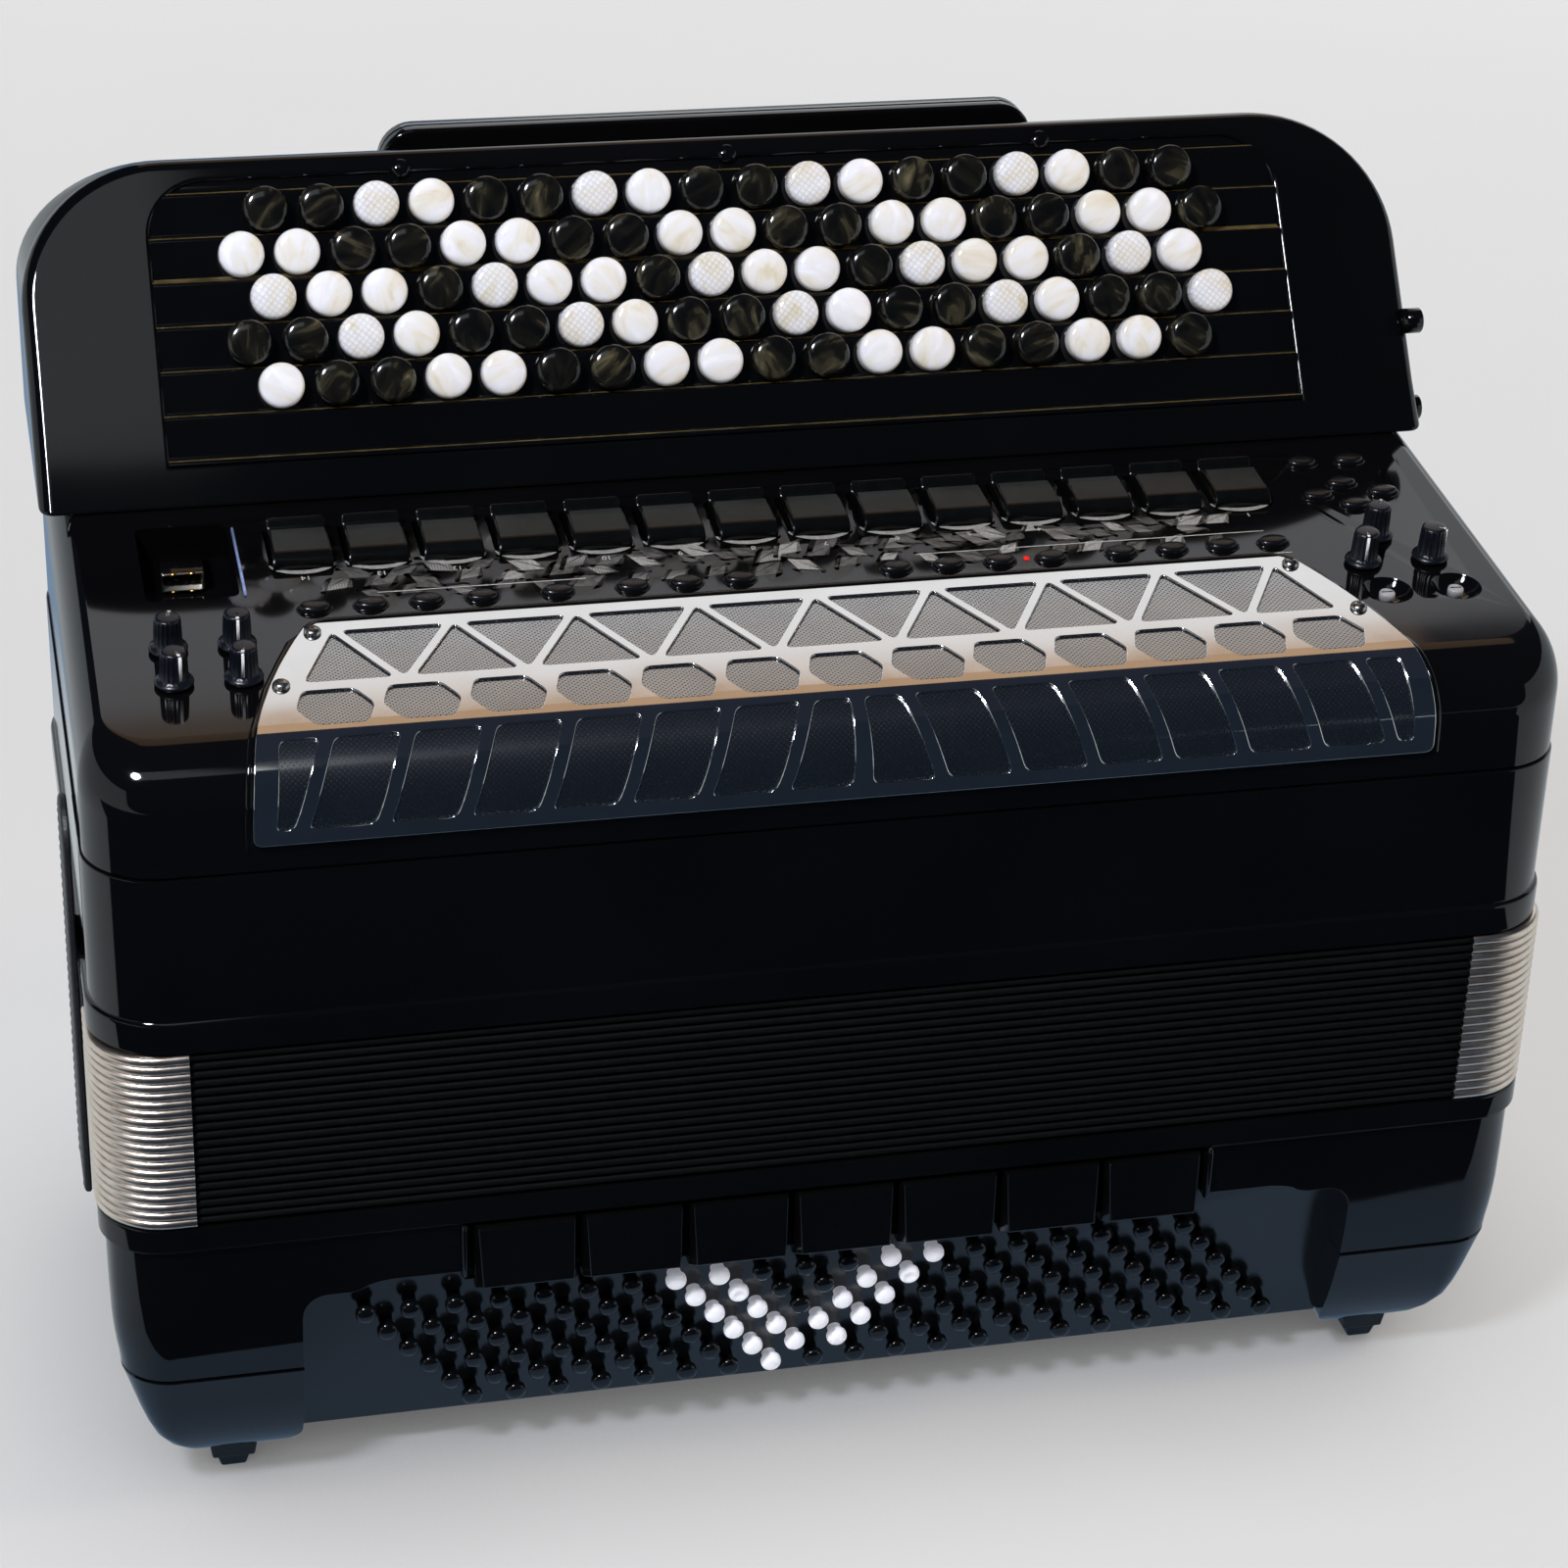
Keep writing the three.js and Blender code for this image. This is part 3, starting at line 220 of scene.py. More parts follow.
# Navy cloth on the table before the instrument and on a frame behind the camera
dark_cloth, tree = new_material("navy studio cloth")
dusk = glowing(tree, hex_colour("#1D2531"), 1.0)
put(tree, "ShaderNodeOutputMaterial", {"Surface": dusk})
# Pale screen cloth at the front left, brightest at its left end
screen_cloth, tree = new_material("pale screen cloth")
across = put(tree, "ShaderNodeSeparateXYZ", {"Vector": object_place(tree)}).outputs["X"]
fading = glowing(tree, hex_colour("#DCE2E6"), spread(tree, across, 0.95, 0.0, -0.02, 0.05))
put(tree, "ShaderNodeOutputMaterial", {"Surface": fading})
CLOTH_UP = 0.002
dark_ground = [(-1.9, -2.1), (1.5, -2.1), (0.62, -0.75), (0.5, FRONT_Y - 0.12), (0.24, FRONT_Y - 0.1),
               (-0.24, FRONT_Y - 0.05), (-1.9, FRONT_Y - 0.04)]
for name, cloth, corners in (
        ("front_flag", dark_cloth, [(x, y, CLOTH_UP) for x, y in dark_ground]),
        ("front_curtain", dark_cloth, [(-2.4, -1.8, 2.9), (2.4, -1.8, 2.9), (2.2, -2.1, 0.0), (-2.2, -2.1, 0.0)]),
        ("pale_screen", screen_cloth, [(-1.7, -1.6, 2.25), (0.06, -1.6, 2.25), (0.06, -1.6, 3.7), (-1.7, -1.6, 3.7)])):
    flag = object_from(name, corners, [tuple(range(len(corners)))], cloth)
    flag.visible_camera = flag.visible_diffuse = flag.visible_shadow = False


def lamp(name, place, aim, size, power, colour, round_face=False):
    """A soft flat lamp that points at a place."""
    light = bpy.data.lights.new(name, "AREA")
    light.shape = "ELLIPSE" if round_face else "RECTANGLE"
    light.size, light.size_y = size
    light.energy = power
    light.color = hex_colour(colour)[:3]
    made = linked(name, light)
    made.location = place
    made.rotation_euler = (Vector(aim) - Vector(place)).to_track_quat("-Z", "Y").to_euler()
    return made


lamp("window_left", (-1.05, -1.05, 1.95), (0, 0, 0.25), (0.38, 0.38), 46, "#F3F5FF", round_face=True)
side_lamp = lamp("warm_side", (1.75, -0.45, 1.55), (0, 0, 0.3), (0.4, 0.4), 18, "#FFEDD2", round_face=True)
side_lamp.visible_glossy = False
lamp("pale_wall_behind", (0.9, 2.1, 1.461), (0.9, 0, 1.461), (2.4, 1.172), 8.0, "#F8F9FC")
lamp("warm_ceiling_behind", (0.55, 1.62, 2.2), (0.55, 1.62, 0), (1.7, 1.34), 3.4, "#FFD2A4")

world = bpy.data.worlds.new("room")
world.use_nodes = True
world.node_tree.nodes.clear()
sky = put(world.node_tree, "ShaderNodeBackground", {"Color": hex_colour("#4F5A72"), "Strength": 0.22})
put(world.node_tree, "ShaderNodeOutputWorld", {"Surface": sky.outputs["Background"]})
bpy.context.scene.world = world
bpy.context.scene.view_settings.view_transform = "Standard"

CAMERA_PLACE = Vector((-0.27787, -1.14636, 0.80743))
azimuth, elevation, roll = (math.radians(a) for a in (13.83, 27.61, 1.91))
ahead = Vector((math.sin(azimuth) * math.cos(elevation), math.cos(azimuth) * math.cos(elevation), -math.sin(elevation)))
level_right = Vector((math.cos(azimuth), -math.sin(azimuth), 0))
level_up = level_right.cross(ahead)
right = level_right * math.cos(roll) + level_up * math.sin(roll)
up = -level_right * math.sin(roll) + level_up * math.cos(roll)
camera_data = bpy.data.cameras.new("camera")
camera_data.sensor_width = 36
camera_data.lens = 89.02
camera_data.clip_start = 0.01
camera = linked("camera", camera_data)
camera.matrix_world = Matrix((
    (right.x, up.x, -ahead.x, CAMERA_PLACE.x),
    (right.y, up.y, -ahead.y, CAMERA_PLACE.y),
    (right.z, up.z, -ahead.z, CAMERA_PLACE.z),
    (0, 0, 0, 1),
))
bpy.context.scene.camera = camera

# ---------------------------------------------------------------- treble body
# Upper casing over the treble frame, both moulded in glossy black ABS with deep rounded edges. The casing's
# top slopes up to the keyboard and carries the pocket, the key wells and the trim bowls as moulded recesses.
HALF_WIDTH = (casing_high.x - casing_low.x) / 2 / MM
CASING_FOOT = casing_low.z / MM
RIM_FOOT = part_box("treble_frame")[0].z / MM
RIM_PROUD = 2.0
BODY_DEPTH = 231.99
REAR_CORNER, LEAST_CORNER = 24.0, 6.0
# How much narrower each part of the body is at its rear, and the radius of its front corners
TREBLE_PLAN, BELLOWS_PLAN, BASS_PLAN = (1.3, 24), (3, 20), (6, 19)
PANEL_SLOPE = math.radians(6.1)
PANEL_FRONT = 276.9
EDGE_FRONT, EDGE_SIDE = 18.0, 9.0
PANEL_ALONG = Vector((0, math.cos(PANEL_SLOPE), math.sin(PANEL_SLOPE)))
PANEL_NORMAL = Vector((0, -math.sin(PANEL_SLOPE), math.cos(PANEL_SLOPE)))


def panel_height(y):
    """How high the control panel lies at a place behind the front, in millimetres."""
    return PANEL_FRONT + y * math.tan(PANEL_SLOPE)


def on_panel(x, y, u=0.0, v=0.0, w=0.0):
    """A place on the control panel: u across, v up the slope and w out of it, in millimetres."""
    return at(x + u, y, panel_height(y)) + (PANEL_ALONG * v + PANEL_NORMAL * w) * MM


def around_spot(place, *spot):
    """The function that puts u, v and w in place around one spot."""
    return lambda u, v, w: place(*spot, u, v, w)


def body_ring(plan, inset, height, steps=14):
    """One outline of the body seen from above, drawn in by one inset or by those of front, sides and rear."""
    taper, corner = plan
    front, side, rear = inset if isinstance(inset, tuple) else (inset, inset, inset)
    half_front, half_rear = HALF_WIDTH - side, HALF_WIDTH - taper - side
    near = max(corner - side, LEAST_CORNER)
    far = max(REAR_CORNER - side, LEAST_CORNER)
    points = []
    for cx, cy, radius, start in (
        (-half_front + near, front + near, near, math.pi),
        (half_front - near, front + near, near, 1.5 * math.pi),
        (half_rear - far, BODY_DEPTH - rear - far, far, 0.0),
        (-half_rear + far, BODY_DEPTH - rear - far, far, 0.5 * math.pi),
    ):
        for i in range(steps + 1):
            a = start + i / steps * math.pi / 2
            points.append((cx + radius * math.cos(a), cy + radius * math.sin(a)))
    return [at(x, y, height(y) if callable(height) else height) for x, y in points]


def skin(name, rings, material, closed=True):
    """A surface through rings of points, with flat ends, or through open lines."""
    count = len(rings[0])
    faces = []
    for k in range(len(rings) - 1):
        for i in range(count if closed else count - 1):
            j = (i + 1) % count
            faces.append((k * count + i, k * count + j, (k + 1) * count + j, (k + 1) * count + i))
    if closed:
        faces.append(tuple(reversed(range(count))))
        faces.append(tuple(range((len(rings) - 1) * count, len(rings) * count)))
    return object_from(name, [p for ring in rings for p in ring], faces, material)


def edited(mesh, change):
    """Changes a mesh by a function of its corners, edges and faces."""
    bm = bmesh.new()
    bm.from_mesh(mesh)
    change(bm)
    bm.to_mesh(mesh)
    bm.free()


def evaluated(made):
    """The mesh that an object's modifiers, its curve or its text makes."""
    return bpy.data.meshes.new_from_object(made.evaluated_get(bpy.context.evaluated_depsgraph_get()))


def outward(made):
    """Turns every face of a closed piece to the outside."""
    edited(made.data, lambda bm: bmesh.ops.recalc_face_normals(bm, faces=bm.faces))
    return made


def bevel(width, segments, angle, **more):
    """A bevel of a width in millimetres, on the edges that turn by more than an angle in degrees."""
    return "BEVEL", {"width": width * MM, "segments": segments, "limit_method": "ANGLE",
                     "angle_limit": math.radians(angle), "harden_normals": True, **more}


def finished(made, *modifiers, split=32.0):
    """Bakes modifiers into the mesh; each is a kind with its settings. Flat faces keep their own normals."""
    made.data.set_sharp_from_angle(angle=math.radians(split))
    for kind, settings in modifiers:
        modifier = made.modifiers.new(kind.lower(), kind)
        for key, value in settings.items():
            setattr(modifier, key, value)
    made.modifiers.new("even normals", "WEIGHTED_NORMAL").keep_sharp = True
    baked = evaluated(made)
    made.modifiers.clear()
    old = made.data
    made.data = baked
    bpy.data.meshes.remove(old)
    made.data.name = made.name
    return made


def merged(name, parts):
    """One object from several, with their materials kept."""
    bm = bmesh.new()
    materials = []
    for part in parts:
        start = len(bm.faces)
        bm.from_mesh(part.data)
        bm.faces.ensure_lookup_table()
        places = []
        for material in part.data.materials:
            if material not in materials:
                materials.append(material)
            places.append(materials.index(material))
        for face in bm.faces[start:]:
            if places:
                face.material_index = places[min(face.material_index, len(places) - 1)]
    mesh = bpy.data.meshes.new(name)
    bm.to_mesh(mesh)
    bm.free()
    for material in materials:
        mesh.materials.append(material)
    for part in parts:
        bpy.data.objects.remove(part)
    return linked(name, mesh)


def block(name, low, high, place, material=None):
    """A box between two corners, each corner put in place by a function."""
    corners = [place(x, y, z) for z in (low[2], high[2]) for x, y in
               ((low[0], low[1]), (high[0], low[1]), (high[0], high[1]), (low[0], high[1]))]
    faces = [(3, 2, 1, 0), (4, 5, 6, 7), (0, 1, 5, 4), (1, 2, 6, 5), (2, 3, 7, 6), (3, 0, 4, 7)]
    return object_from(name, corners, faces, material)


def turned(name, profile, sides, place, material=None, flute=0.0, flutes=0, fluted=(0.0, 0.0)):
    """A round piece from its profile of radius and height, put in place by a function of x, y, z."""
    points, faces = [], []
    for radius, height in profile:
        for i in range(sides):
            a = 2 * math.pi * i / sides
            r = radius
            if flutes and fluted[0] <= height <= fluted[1] and radius > 0:
                r -= flute * (0.5 - 0.5 * math.cos(flutes * a)) ** 0.7
            points.append(place(r * math.cos(a), r * math.sin(a), height))
    for k in range(len(profile) - 1):
        for i in range(sides):
            j = (i + 1) % sides
            faces.append((k * sides + i, k * sides + j, (k + 1) * sides + j, (k + 1) * sides + i))
    made = object_from(name, points, faces, material)
    edited(made.data, lambda bm: bmesh.ops.remove_doubles(bm, verts=bm.verts, dist=1e-7))
    outward(made).data.shade_smooth()
    return made


def cut(made, cutters, operation="DIFFERENCE"):
    """Cuts other closed pieces out of a piece, or keeps what lies in them, and removes them."""
    outward(made)
    for cutter in cutters:
        outward(cutter)
        modifier = made.modifiers.new("cut", "BOOLEAN")
        modifier.operation = operation
        modifier.solver = "EXACT"
        modifier.object = cutter
    baked = evaluated(made)
    made.modifiers.clear()
    made.data = baked
    for cutter in cutters:
        bpy.data.objects.remove(cutter)
    return made


# Polished ABS: a deep black, moulded in a polished tool, with the faint waves of a moulding, 45 mm long
gloss_abs, tree = new_material("polished black ABS")
coordinates = object_place(tree)
tone = noise(tree, coordinates, 14.0, 3.0)
wavy = bump(tree, noise(tree, coordinates, 22.0, 1.0), 0.03, 0.0006)
polish = spread(tree, tone, 0.035, 0.075)
surface(tree, Base_Color=ramp(tree, tone, [(0.3, "#060607"), (0.7, "#09090A")]), Roughness=polish, Normal=wavy)

rim_profile = [(6.0, 0.0), (0.0, 0.0), (-1.4, 0.05), (-1.9, 0.5), (-RIM_PROUD, 1.2), (-RIM_PROUD, 9.6), (-1.7, 10.5),
               (-0.9, 11.1), (-0.67, 11.5)]
rings = [body_ring(TREBLE_PLAN, i, RIM_FOOT + h) for i, h in rim_profile]
rings += [body_ring(TREBLE_PLAN, i, CASING_FOOT - h) for i, h in ((-0.67, 0.9), (-0.5, 0.5), (0.4, 0.3), (6, 0.3))]
treble_wall = finished(skin("treble_wall", rings, gloss_abs))
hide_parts("treble_frame")
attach(treble_wall, "treble_side")

PANEL_STEPS = 12
rings = [body_ring(TREBLE_PLAN, i, CASING_FOOT + h) for i, h in ((6, 0), (0.4, 0), (0.0, 0.5))]
for k in range(PANEL_STEPS + 1):
    a = k / PANEL_STEPS * math.pi / 2
    inset, drop = 1 - math.cos(a), 1 - math.sin(a)
    rings.append(body_ring(TREBLE_PLAN, (inset * EDGE_FRONT, inset * EDGE_SIDE, 0),
                           lambda y, drop=drop: panel_height(y) - drop * EDGE_FRONT))
treble_shell = skin("treble_shell", rings, gloss_abs)

REGISTER_COUNT = 14
REGISTER_PITCH = 24.37
REGISTER_Y = 122.5
REGISTER_SIZE = (19.4, 25.0)
POCKET = (-194.9, 119.0)
TRIMS = {"trim_knob_left": (188.5, 51.0), "trim_knob_right": (212.2, 50.6)}


def rounded_outline(half_x, half_y, radius, steps=6):
    """Points of a rectangle with rounded corners, counter-clockwise."""
    points = []
    for sx, sy, start in ((1, 1, 0.0), (-1, 1, 0.5), (-1, -1, 1.0), (1, -1, 1.5)):
        for i in range(steps + 1):
            a = (start + i / steps / 2) * math.pi
            cx, cy = sx * (half_x - radius), sy * (half_y - radius)
            points.append((cx + radius * math.cos(a), cy + radius * math.sin(a)))
    return points


CUT_HIGH = 8
cutters = []
outline = rounded_outline(14.75, 23, 2.5)
cutters.append(skin("pocket_cut", [[on_panel(*POCKET, x, y, w) for x, y in outline] for w in (-12, CUT_HIGH)], None))
for i in range(REGISTER_COUNT):
    x = (i - (REGISTER_COUNT - 1) / 2) * REGISTER_PITCH
    outline = rounded_outline(REGISTER_SIZE[0] / 2 + 0.9, REGISTER_SIZE[1] / 2 + 1.0, 1.5, 4)
    cutters.append(skin("well_cut", [[on_panel(x, REGISTER_Y, u, v, w) for u, v in outline] for w in (-9.5, CUT_HIGH)],
                        None))
bowl_profile = [(0, -4.2), (3.2, -4.2), (5.0, -3.6), (6.8, -2.1), (8.05, -0.4), (8.4, 0.0), (8.4, 6), (0, 6)]
for place in TRIMS.values():
    cutters.append(turned("bowl_cut", bowl_profile, 40, around_spot(on_panel, *place)))
treble_shell = cut(treble_shell, cutters)
finished(treble_shell, bevel(0.35, 2, 50))
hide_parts("treble_casing")
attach(treble_shell, "treble_side")

# ---------------------------------------------------------------- keyboard housing
# An arch of polished ABS behind the control panel. Its front leans back, its edge is rounded all along the
# arch, and a rounded opening in the front shows the button board. Two strap pegs stand on its right side.
HOUSING_LEAN = math.radians(36.09)
HOUSING_FOOT_Y = 152.0
HOUSING_SEAT = panel_height(HOUSING_FOOT_Y)
HOUSING_HALF = 239.0
HOUSING_UP = 120.0
HOUSING_BACK = 236.0
ARCH_RADIUS = 49.0
RECESS_HALF, RECESS_LOW, RECESS_HIGH, RECESS_RADIUS = 195.5, 15.3, 111.0, 19.0
LEAN_UP = Vector((0, math.sin(HOUSING_LEAN), math.cos(HOUSING_LEAN)))
LEAN_OUT = Vector((0, -math.cos(HOUSING_LEAN), math.sin(HOUSING_LEAN)))


def on_face(x, up_face, out=0.0):
    """A place on the housing's leaning face: across, up the face and out of it, in millimetres."""
    return at(x, HOUSING_FOOT_Y, HOUSING_SEAT) + (LEAN_UP * up_face + LEAN_OUT * out) * MM


def arch_outline(steps=18):
    """Points of the arch from its left foot over the top to its right foot, with the way out of each."""
    points = [(-HOUSING_HALF, v, -1.0, 0.0) for v in (0.0, 20.0, 45.0, HOUSING_UP - ARCH_RADIUS)]
    for i in range(1, steps + 1):
        a = math.pi - i / steps * math.pi / 2
        points.append((-HOUSING_HALF + ARCH_RADIUS + ARCH_RADIUS * math.cos(a),
                       HOUSING_UP - ARCH_RADIUS + ARCH_RADIUS * math.sin(a), math.cos(a), math.sin(a)))
    points += [(x, HOUSING_UP, 0.0, 1.0) for x in (-120.0, 0.0, 120.0)]
    for i in range(steps + 1):
        a = math.pi / 2 - i / steps * math.pi / 2
        points.append((HOUSING_HALF - ARCH_RADIUS + ARCH_RADIUS * math.cos(a),
                       HOUSING_UP - ARCH_RADIUS + ARCH_RADIUS * math.sin(a), math.cos(a), math.sin(a)))
    points += [(HOUSING_HALF, v, 1.0, 0.0) for v in (45.0, 20.0, 0.0)]
    return points


FACE_ROUND, BACK_ROUND = 5.0, 5.0
CROWN_FALL = 1.2
SEAT_LIFT = 0.3
strips = []
for x, v, out_x, out_v in arch_outline():
    strip = []
    for k in range(9):
        a = k / 8 * math.pi / 2
        inset, sink = FACE_ROUND * (1 - math.sin(a)), FACE_ROUND * (1 - math.cos(a))
        strip.append(on_face(x - out_x * inset, max(v - out_v * inset, 0.0), -sink))
    edge = strip[-1]
    back_y = FRONT_Y + HOUSING_BACK * MM
    fall = CROWN_FALL * MM * max(out_v, 0.0)
    for k in range(1, 8):
        t = k / 7
        y = edge.y + (back_y - BACK_ROUND * MM - edge.y) * t
        strip.append(Vector((edge.x, y, edge.z - fall * t * t)))
    last = strip[-1]
    for k in range(1, 6):
        a = k / 5 * math.pi / 2
        drawn = BACK_ROUND * MM * (1 - math.cos(a))
        strip.append(Vector((last.x - out_x * drawn, last.y + BACK_ROUND * MM * math.sin(a), last.z - out_v * drawn)))
    strips.append(strip)
for end in (0, -1):
    strips[end] = [Vector((p.x, p.y, (panel_height((p.y - FRONT_Y) / MM) + SEAT_LIFT) * MM)) for p in strips[end]]
points = [p for strip in strips for p in strip]
rows_deep, rows_round = len(strips[0]), len(strips)
faces = []
for i in range(rows_round - 1):
    for k in range(rows_deep - 1):
        a, b = i * rows_deep + k, (i + 1) * rows_deep + k
        faces.append((a, b, b + 1, a + 1))
faces.append(tuple(i * rows_deep for i in reversed(range(rows_round))))
faces.append(tuple(i * rows_deep + rows_deep - 1 for i in range(rows_round)))
last_row = range((rows_round - 1) * rows_deep, rows_round * rows_deep)
faces.append(tuple(range(rows_deep)) + tuple(reversed(last_row)))
housing = outward(object_from("keyboard_arch", points, faces, gloss_abs))
RECESS_DEPTH = 16.0
half_recess = (RECESS_HIGH - RECESS_LOW) / 2
outline = [p for p in rounded_outline(RECESS_HALF, half_recess, RECESS_RADIUS, 10) if p[1] > 0]
outline += [(-RECESS_HALF, -half_recess), (RECESS_HALF, -half_recess)]
recess_middle = (RECESS_HIGH + RECESS_LOW) / 2
rings = [[on_face(x, recess_middle + v, w) for x, v in outline] for w in (-RECESS_DEPTH, 12)]
cut(housing, [skin("recess_cut", rings, None)])
finished(housing, bevel(1.6, 4, 60))
pegs = []
for y, z in ((175.5, 326.0), (168.5, 296.0)):
    pegs.append(turned("peg", [(0, -3), (4.4, -3), (4.4, 3.6), (4.0, 4.0), (3.2, 4.1), (3.0, 3.7), (0, 3.7)], 32,
                       lambda u, v, w, y=y, z=z: at(HOUSING_HALF + w, y + u, z + v), gloss_abs))
for x in (-110.5, 1.5, 112.8):
    pegs.append(turned("post", [(0, -14), (3.4, -14), (3.4, 1.2), (3.2, 2.0), (2.5, 2.6), (1.3, 2.95), (0, 3.0)], 28,
                       lambda u, v, w, x=x: on_face(x + u, RECESS_HIGH + 1.6 + v, w - 2.0), gloss_abs))
housing = merged("keyboard_arch", [housing] + pegs)
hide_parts("keyboard_housing")
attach(housing, "treble_side")

# Button board: a black moulding behind the buttons, with one ledge for each row. Its nosings carry a
# painted highlight: a warm line of colour in place of the light they catch.
TREBLE_ROWS = (18, 19, 18, 19, 18)
TREBLE_PITCH = 18.5
ROW_TOPS = ((204.7, 377.1), (195.8, 364.9), (187.0, 352.8), (178.1, 340.6), (169.2, 328.4))
FACE_TILT = math.radians(25)
CAP_REACH = 7.4
CAP_OUT = Vector((0, -math.cos(FACE_TILT), math.sin(FACE_TILT)))
CAP_UP = Vector((0, math.sin(FACE_TILT), math.cos(FACE_TILT)))


def on_row(row, x, v=0.0, w=0.0):
    """A place on a row's ledge: across, up the ledge and out of it, in millimetres."""
    y, z = ROW_TOPS[row]
    return at(x, y, z) + (CAP_UP * v + CAP_OUT * (w - CAP_REACH)) * MM


LEDGE_HALF, LEDGE_RISE, NOSING, BOARD_DEEP = 6.85, 15.04, 1.7, 9
board_outline = []
for row in range(-1, 7):
    base = min(max(row, 0), 4)
    shift = -LEAN_UP * (row - base) * LEDGE_RISE * MM
    high, low = on_row(base, 0, LEDGE_HALF) + shift, on_row(base, 0, -LEDGE_HALF) + shift
    for k in range(7):
        a = k / 6 * math.pi / 2
        board_outline.append(high - (CAP_OUT * (1 - math.sin(a)) + CAP_UP * (1 - math.cos(a))) * NOSING * MM)
    board_outline.append(low)
board_low = on_face(0, RECESS_LOW).z
board_high = on_face(0, RECESS_HIGH + 3).z
front_line = [p for p in board_outline if p.z < board_high + 8 * MM]
profile = front_line + [Vector((0, p.y + BOARD_DEEP * MM, p.z)) for p in (front_line[-1], front_line[0])]
rings = [[Vector((MIDDLE_X + x * MM, p.y, p.z)) for p in profile] for x in (-RECESS_HALF - 1.0, RECESS_HALF + 1.0)]
ledges = skin("button_ledges", rings, gloss_abs)
# Painted highlight: a fine brown-gold line along each nosing, 0.9 mm wide, in place of the warm light its rounded edge
# catches
nosing_painted_highlight = speckled("worn nosing of the ledges", 120.0, 4.0, ("#3A311D", "#645736"), 0.22)
ledges.data.materials.append(nosing_painted_highlight)
# The nosing faces that look up the housing's lean take the painted highlight
for polygon in ledges.data.polygons:
    if 0.62 < polygon.normal.dot(LEAN_UP) < 0.93 and abs(polygon.normal.x) < 0.1:
        polygon.material_index = 1


def trim_board(bm):
    """Cuts the board level below and above the opening."""
    for z, sign in ((board_low - 2 * MM, -1), (on_face(0, RECESS_HIGH + 2).z, 1)):
        everything = bm.verts[:] + bm.edges[:] + bm.faces[:]
        bmesh.ops.bisect_plane(bm, geom=everything, plane_co=(0, 0, z), plane_no=(0, 0, sign), clear_outer=True)
        bmesh.ops.holes_fill(bm, edges=[e for e in bm.edges if e.is_boundary], sides=0)
    bmesh.ops.recalc_face_normals(bm, faces=bm.faces)


edited(ledges.data, trim_board)
# The board fits the rounded opening of the housing
rings = [[on_face(x * 1.003, recess_middle + v * 1.01, w) for x, v in outline] for w in (-RECESS_DEPTH - 14, 12)]
cut(ledges, [skin("opening", rings, None)], "INTERSECT")
finished(ledges, split=50)
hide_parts("keyboard_board")
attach(ledges, "treble_side")

# ---------------------------------------------------------------- treble buttons
# Domed caps cast in pearl celluloid: white ones and dark olive ones, with streaks that turn from cap to cap.
# Some white caps have a cross-hatched top, which the fingers find. Each row is carried on one rail.
pearl, tree = new_material("pearl celluloid")
coordinates = object_place(tree)
tone = put(tree, "ShaderNodeAttribute", attribute_name="tone").outputs["Fac"]
turn = put(tree, "ShaderNodeAttribute", attribute_name="turn").outputs["Fac"]
hatch = put(tree, "ShaderNodeAttribute", attribute_name="hatch").outputs["Fac"]
# Streaks about 3 mm apart, drawn out along a direction that each cap has for itself
spun = put(tree, "ShaderNodeVectorRotate", {"Vector": coordinates, "Angle": turn}, rotation_type="Y_AXIS")
drawn = put(tree, "ShaderNodeMapping", {"Vector": spun.outputs["Vector"], "Scale": (330.0, 330.0, 70.0)})
streaks = noise(tree, drawn.outputs["Vector"], 0.55, 3.0, Distortion=0.7)
white_pearl = ramp(tree, streaks, [(0.26, "#E4DBC2"), (0.42, "#F1EEE6"), (0.56, "#F3F4F8"), (0.7, "#FFFFFF")])
dark_pearl = ramp(tree, streaks, [(0.4, "#0B0B0A"), (0.55, "#191813"), (0.68, "#423E2E"), (0.82, "#787156")])
# A cross-hatch of 1.7 mm squares, pressed into the tops that have it; its grooves are painted grey as shade
slanted = {"Vector": coordinates, "Rotation": (math.radians(-65), 0, math.radians(40))}
squares = {"Vector": put(tree, "ShaderNodeMapping", slanted).outputs["Vector"], "Scale": 1.0,
           "Mortar Size": 0.00016, "Brick Width": 0.0017, "Row Height": 0.0017}
relief = maths(tree, "MULTIPLY", put(tree, "ShaderNodeTexBrick", squares, offset=0.0).outputs["Fac"], hatch)
# Painted shade: the hatch's grooves are mixed towards grey
hatch_painted_shade = mixed(tree, maths(tree, "MULTIPLY", relief, 0.22), mixed(tree, tone, dark_pearl, white_pearl),
                hex_colour("#8F8E8A"))
surface(tree, Base_Color=hatch_painted_shade, Roughness=0.13, Normal=bump(tree, relief, 1.0, 0.0005, invert=True),
        Coat_Weight=0.4)

cap_profile = [(0, -1.2), (6.2, -1.2), (7.0, -0.6), (7.5, 0.4), (7.6, 1.8), (7.57, 4.5), (7.42, 5.35), (7.05, 6.05),
               (6.4, 6.5), (5.3, 6.85), (3.7, 7.15), (1.8, 7.34), (0, CAP_REACH)]
WHITE_CAPS = (
    {2, 3, 6, 7, 10, 11, 14, 15},
    {0, 1, 4, 5, 8, 9, 12, 13, 16, 17},
    {0, 1, 2, 4, 5, 6, 8, 9, 10, 12, 13, 14, 16, 17},
    {2, 3, 6, 7, 10, 11, 14, 15, 18},
    {0, 3, 4, 7, 8, 11, 12, 15, 16},
)
HATCHED_CAPS = ({2, 6, 10, 14}, set(), {0, 4, 8, 12, 16}, {2, 6, 10, 14, 18}, set())


def new_group(title, inputs, output):
    """A geometry node group with its sockets, and the outputs of its input node."""
    group = bpy.data.node_groups.new(title, "GeometryNodeTree")
    for label, kind in inputs:
        group.interface.new_socket(label, in_out="INPUT", socket_type="NodeSocket" + kind)
    group.interface.new_socket(output, in_out="OUTPUT", socket_type="NodeSocketGeometry")
    return group, put(group, "NodeGroupInput").outputs


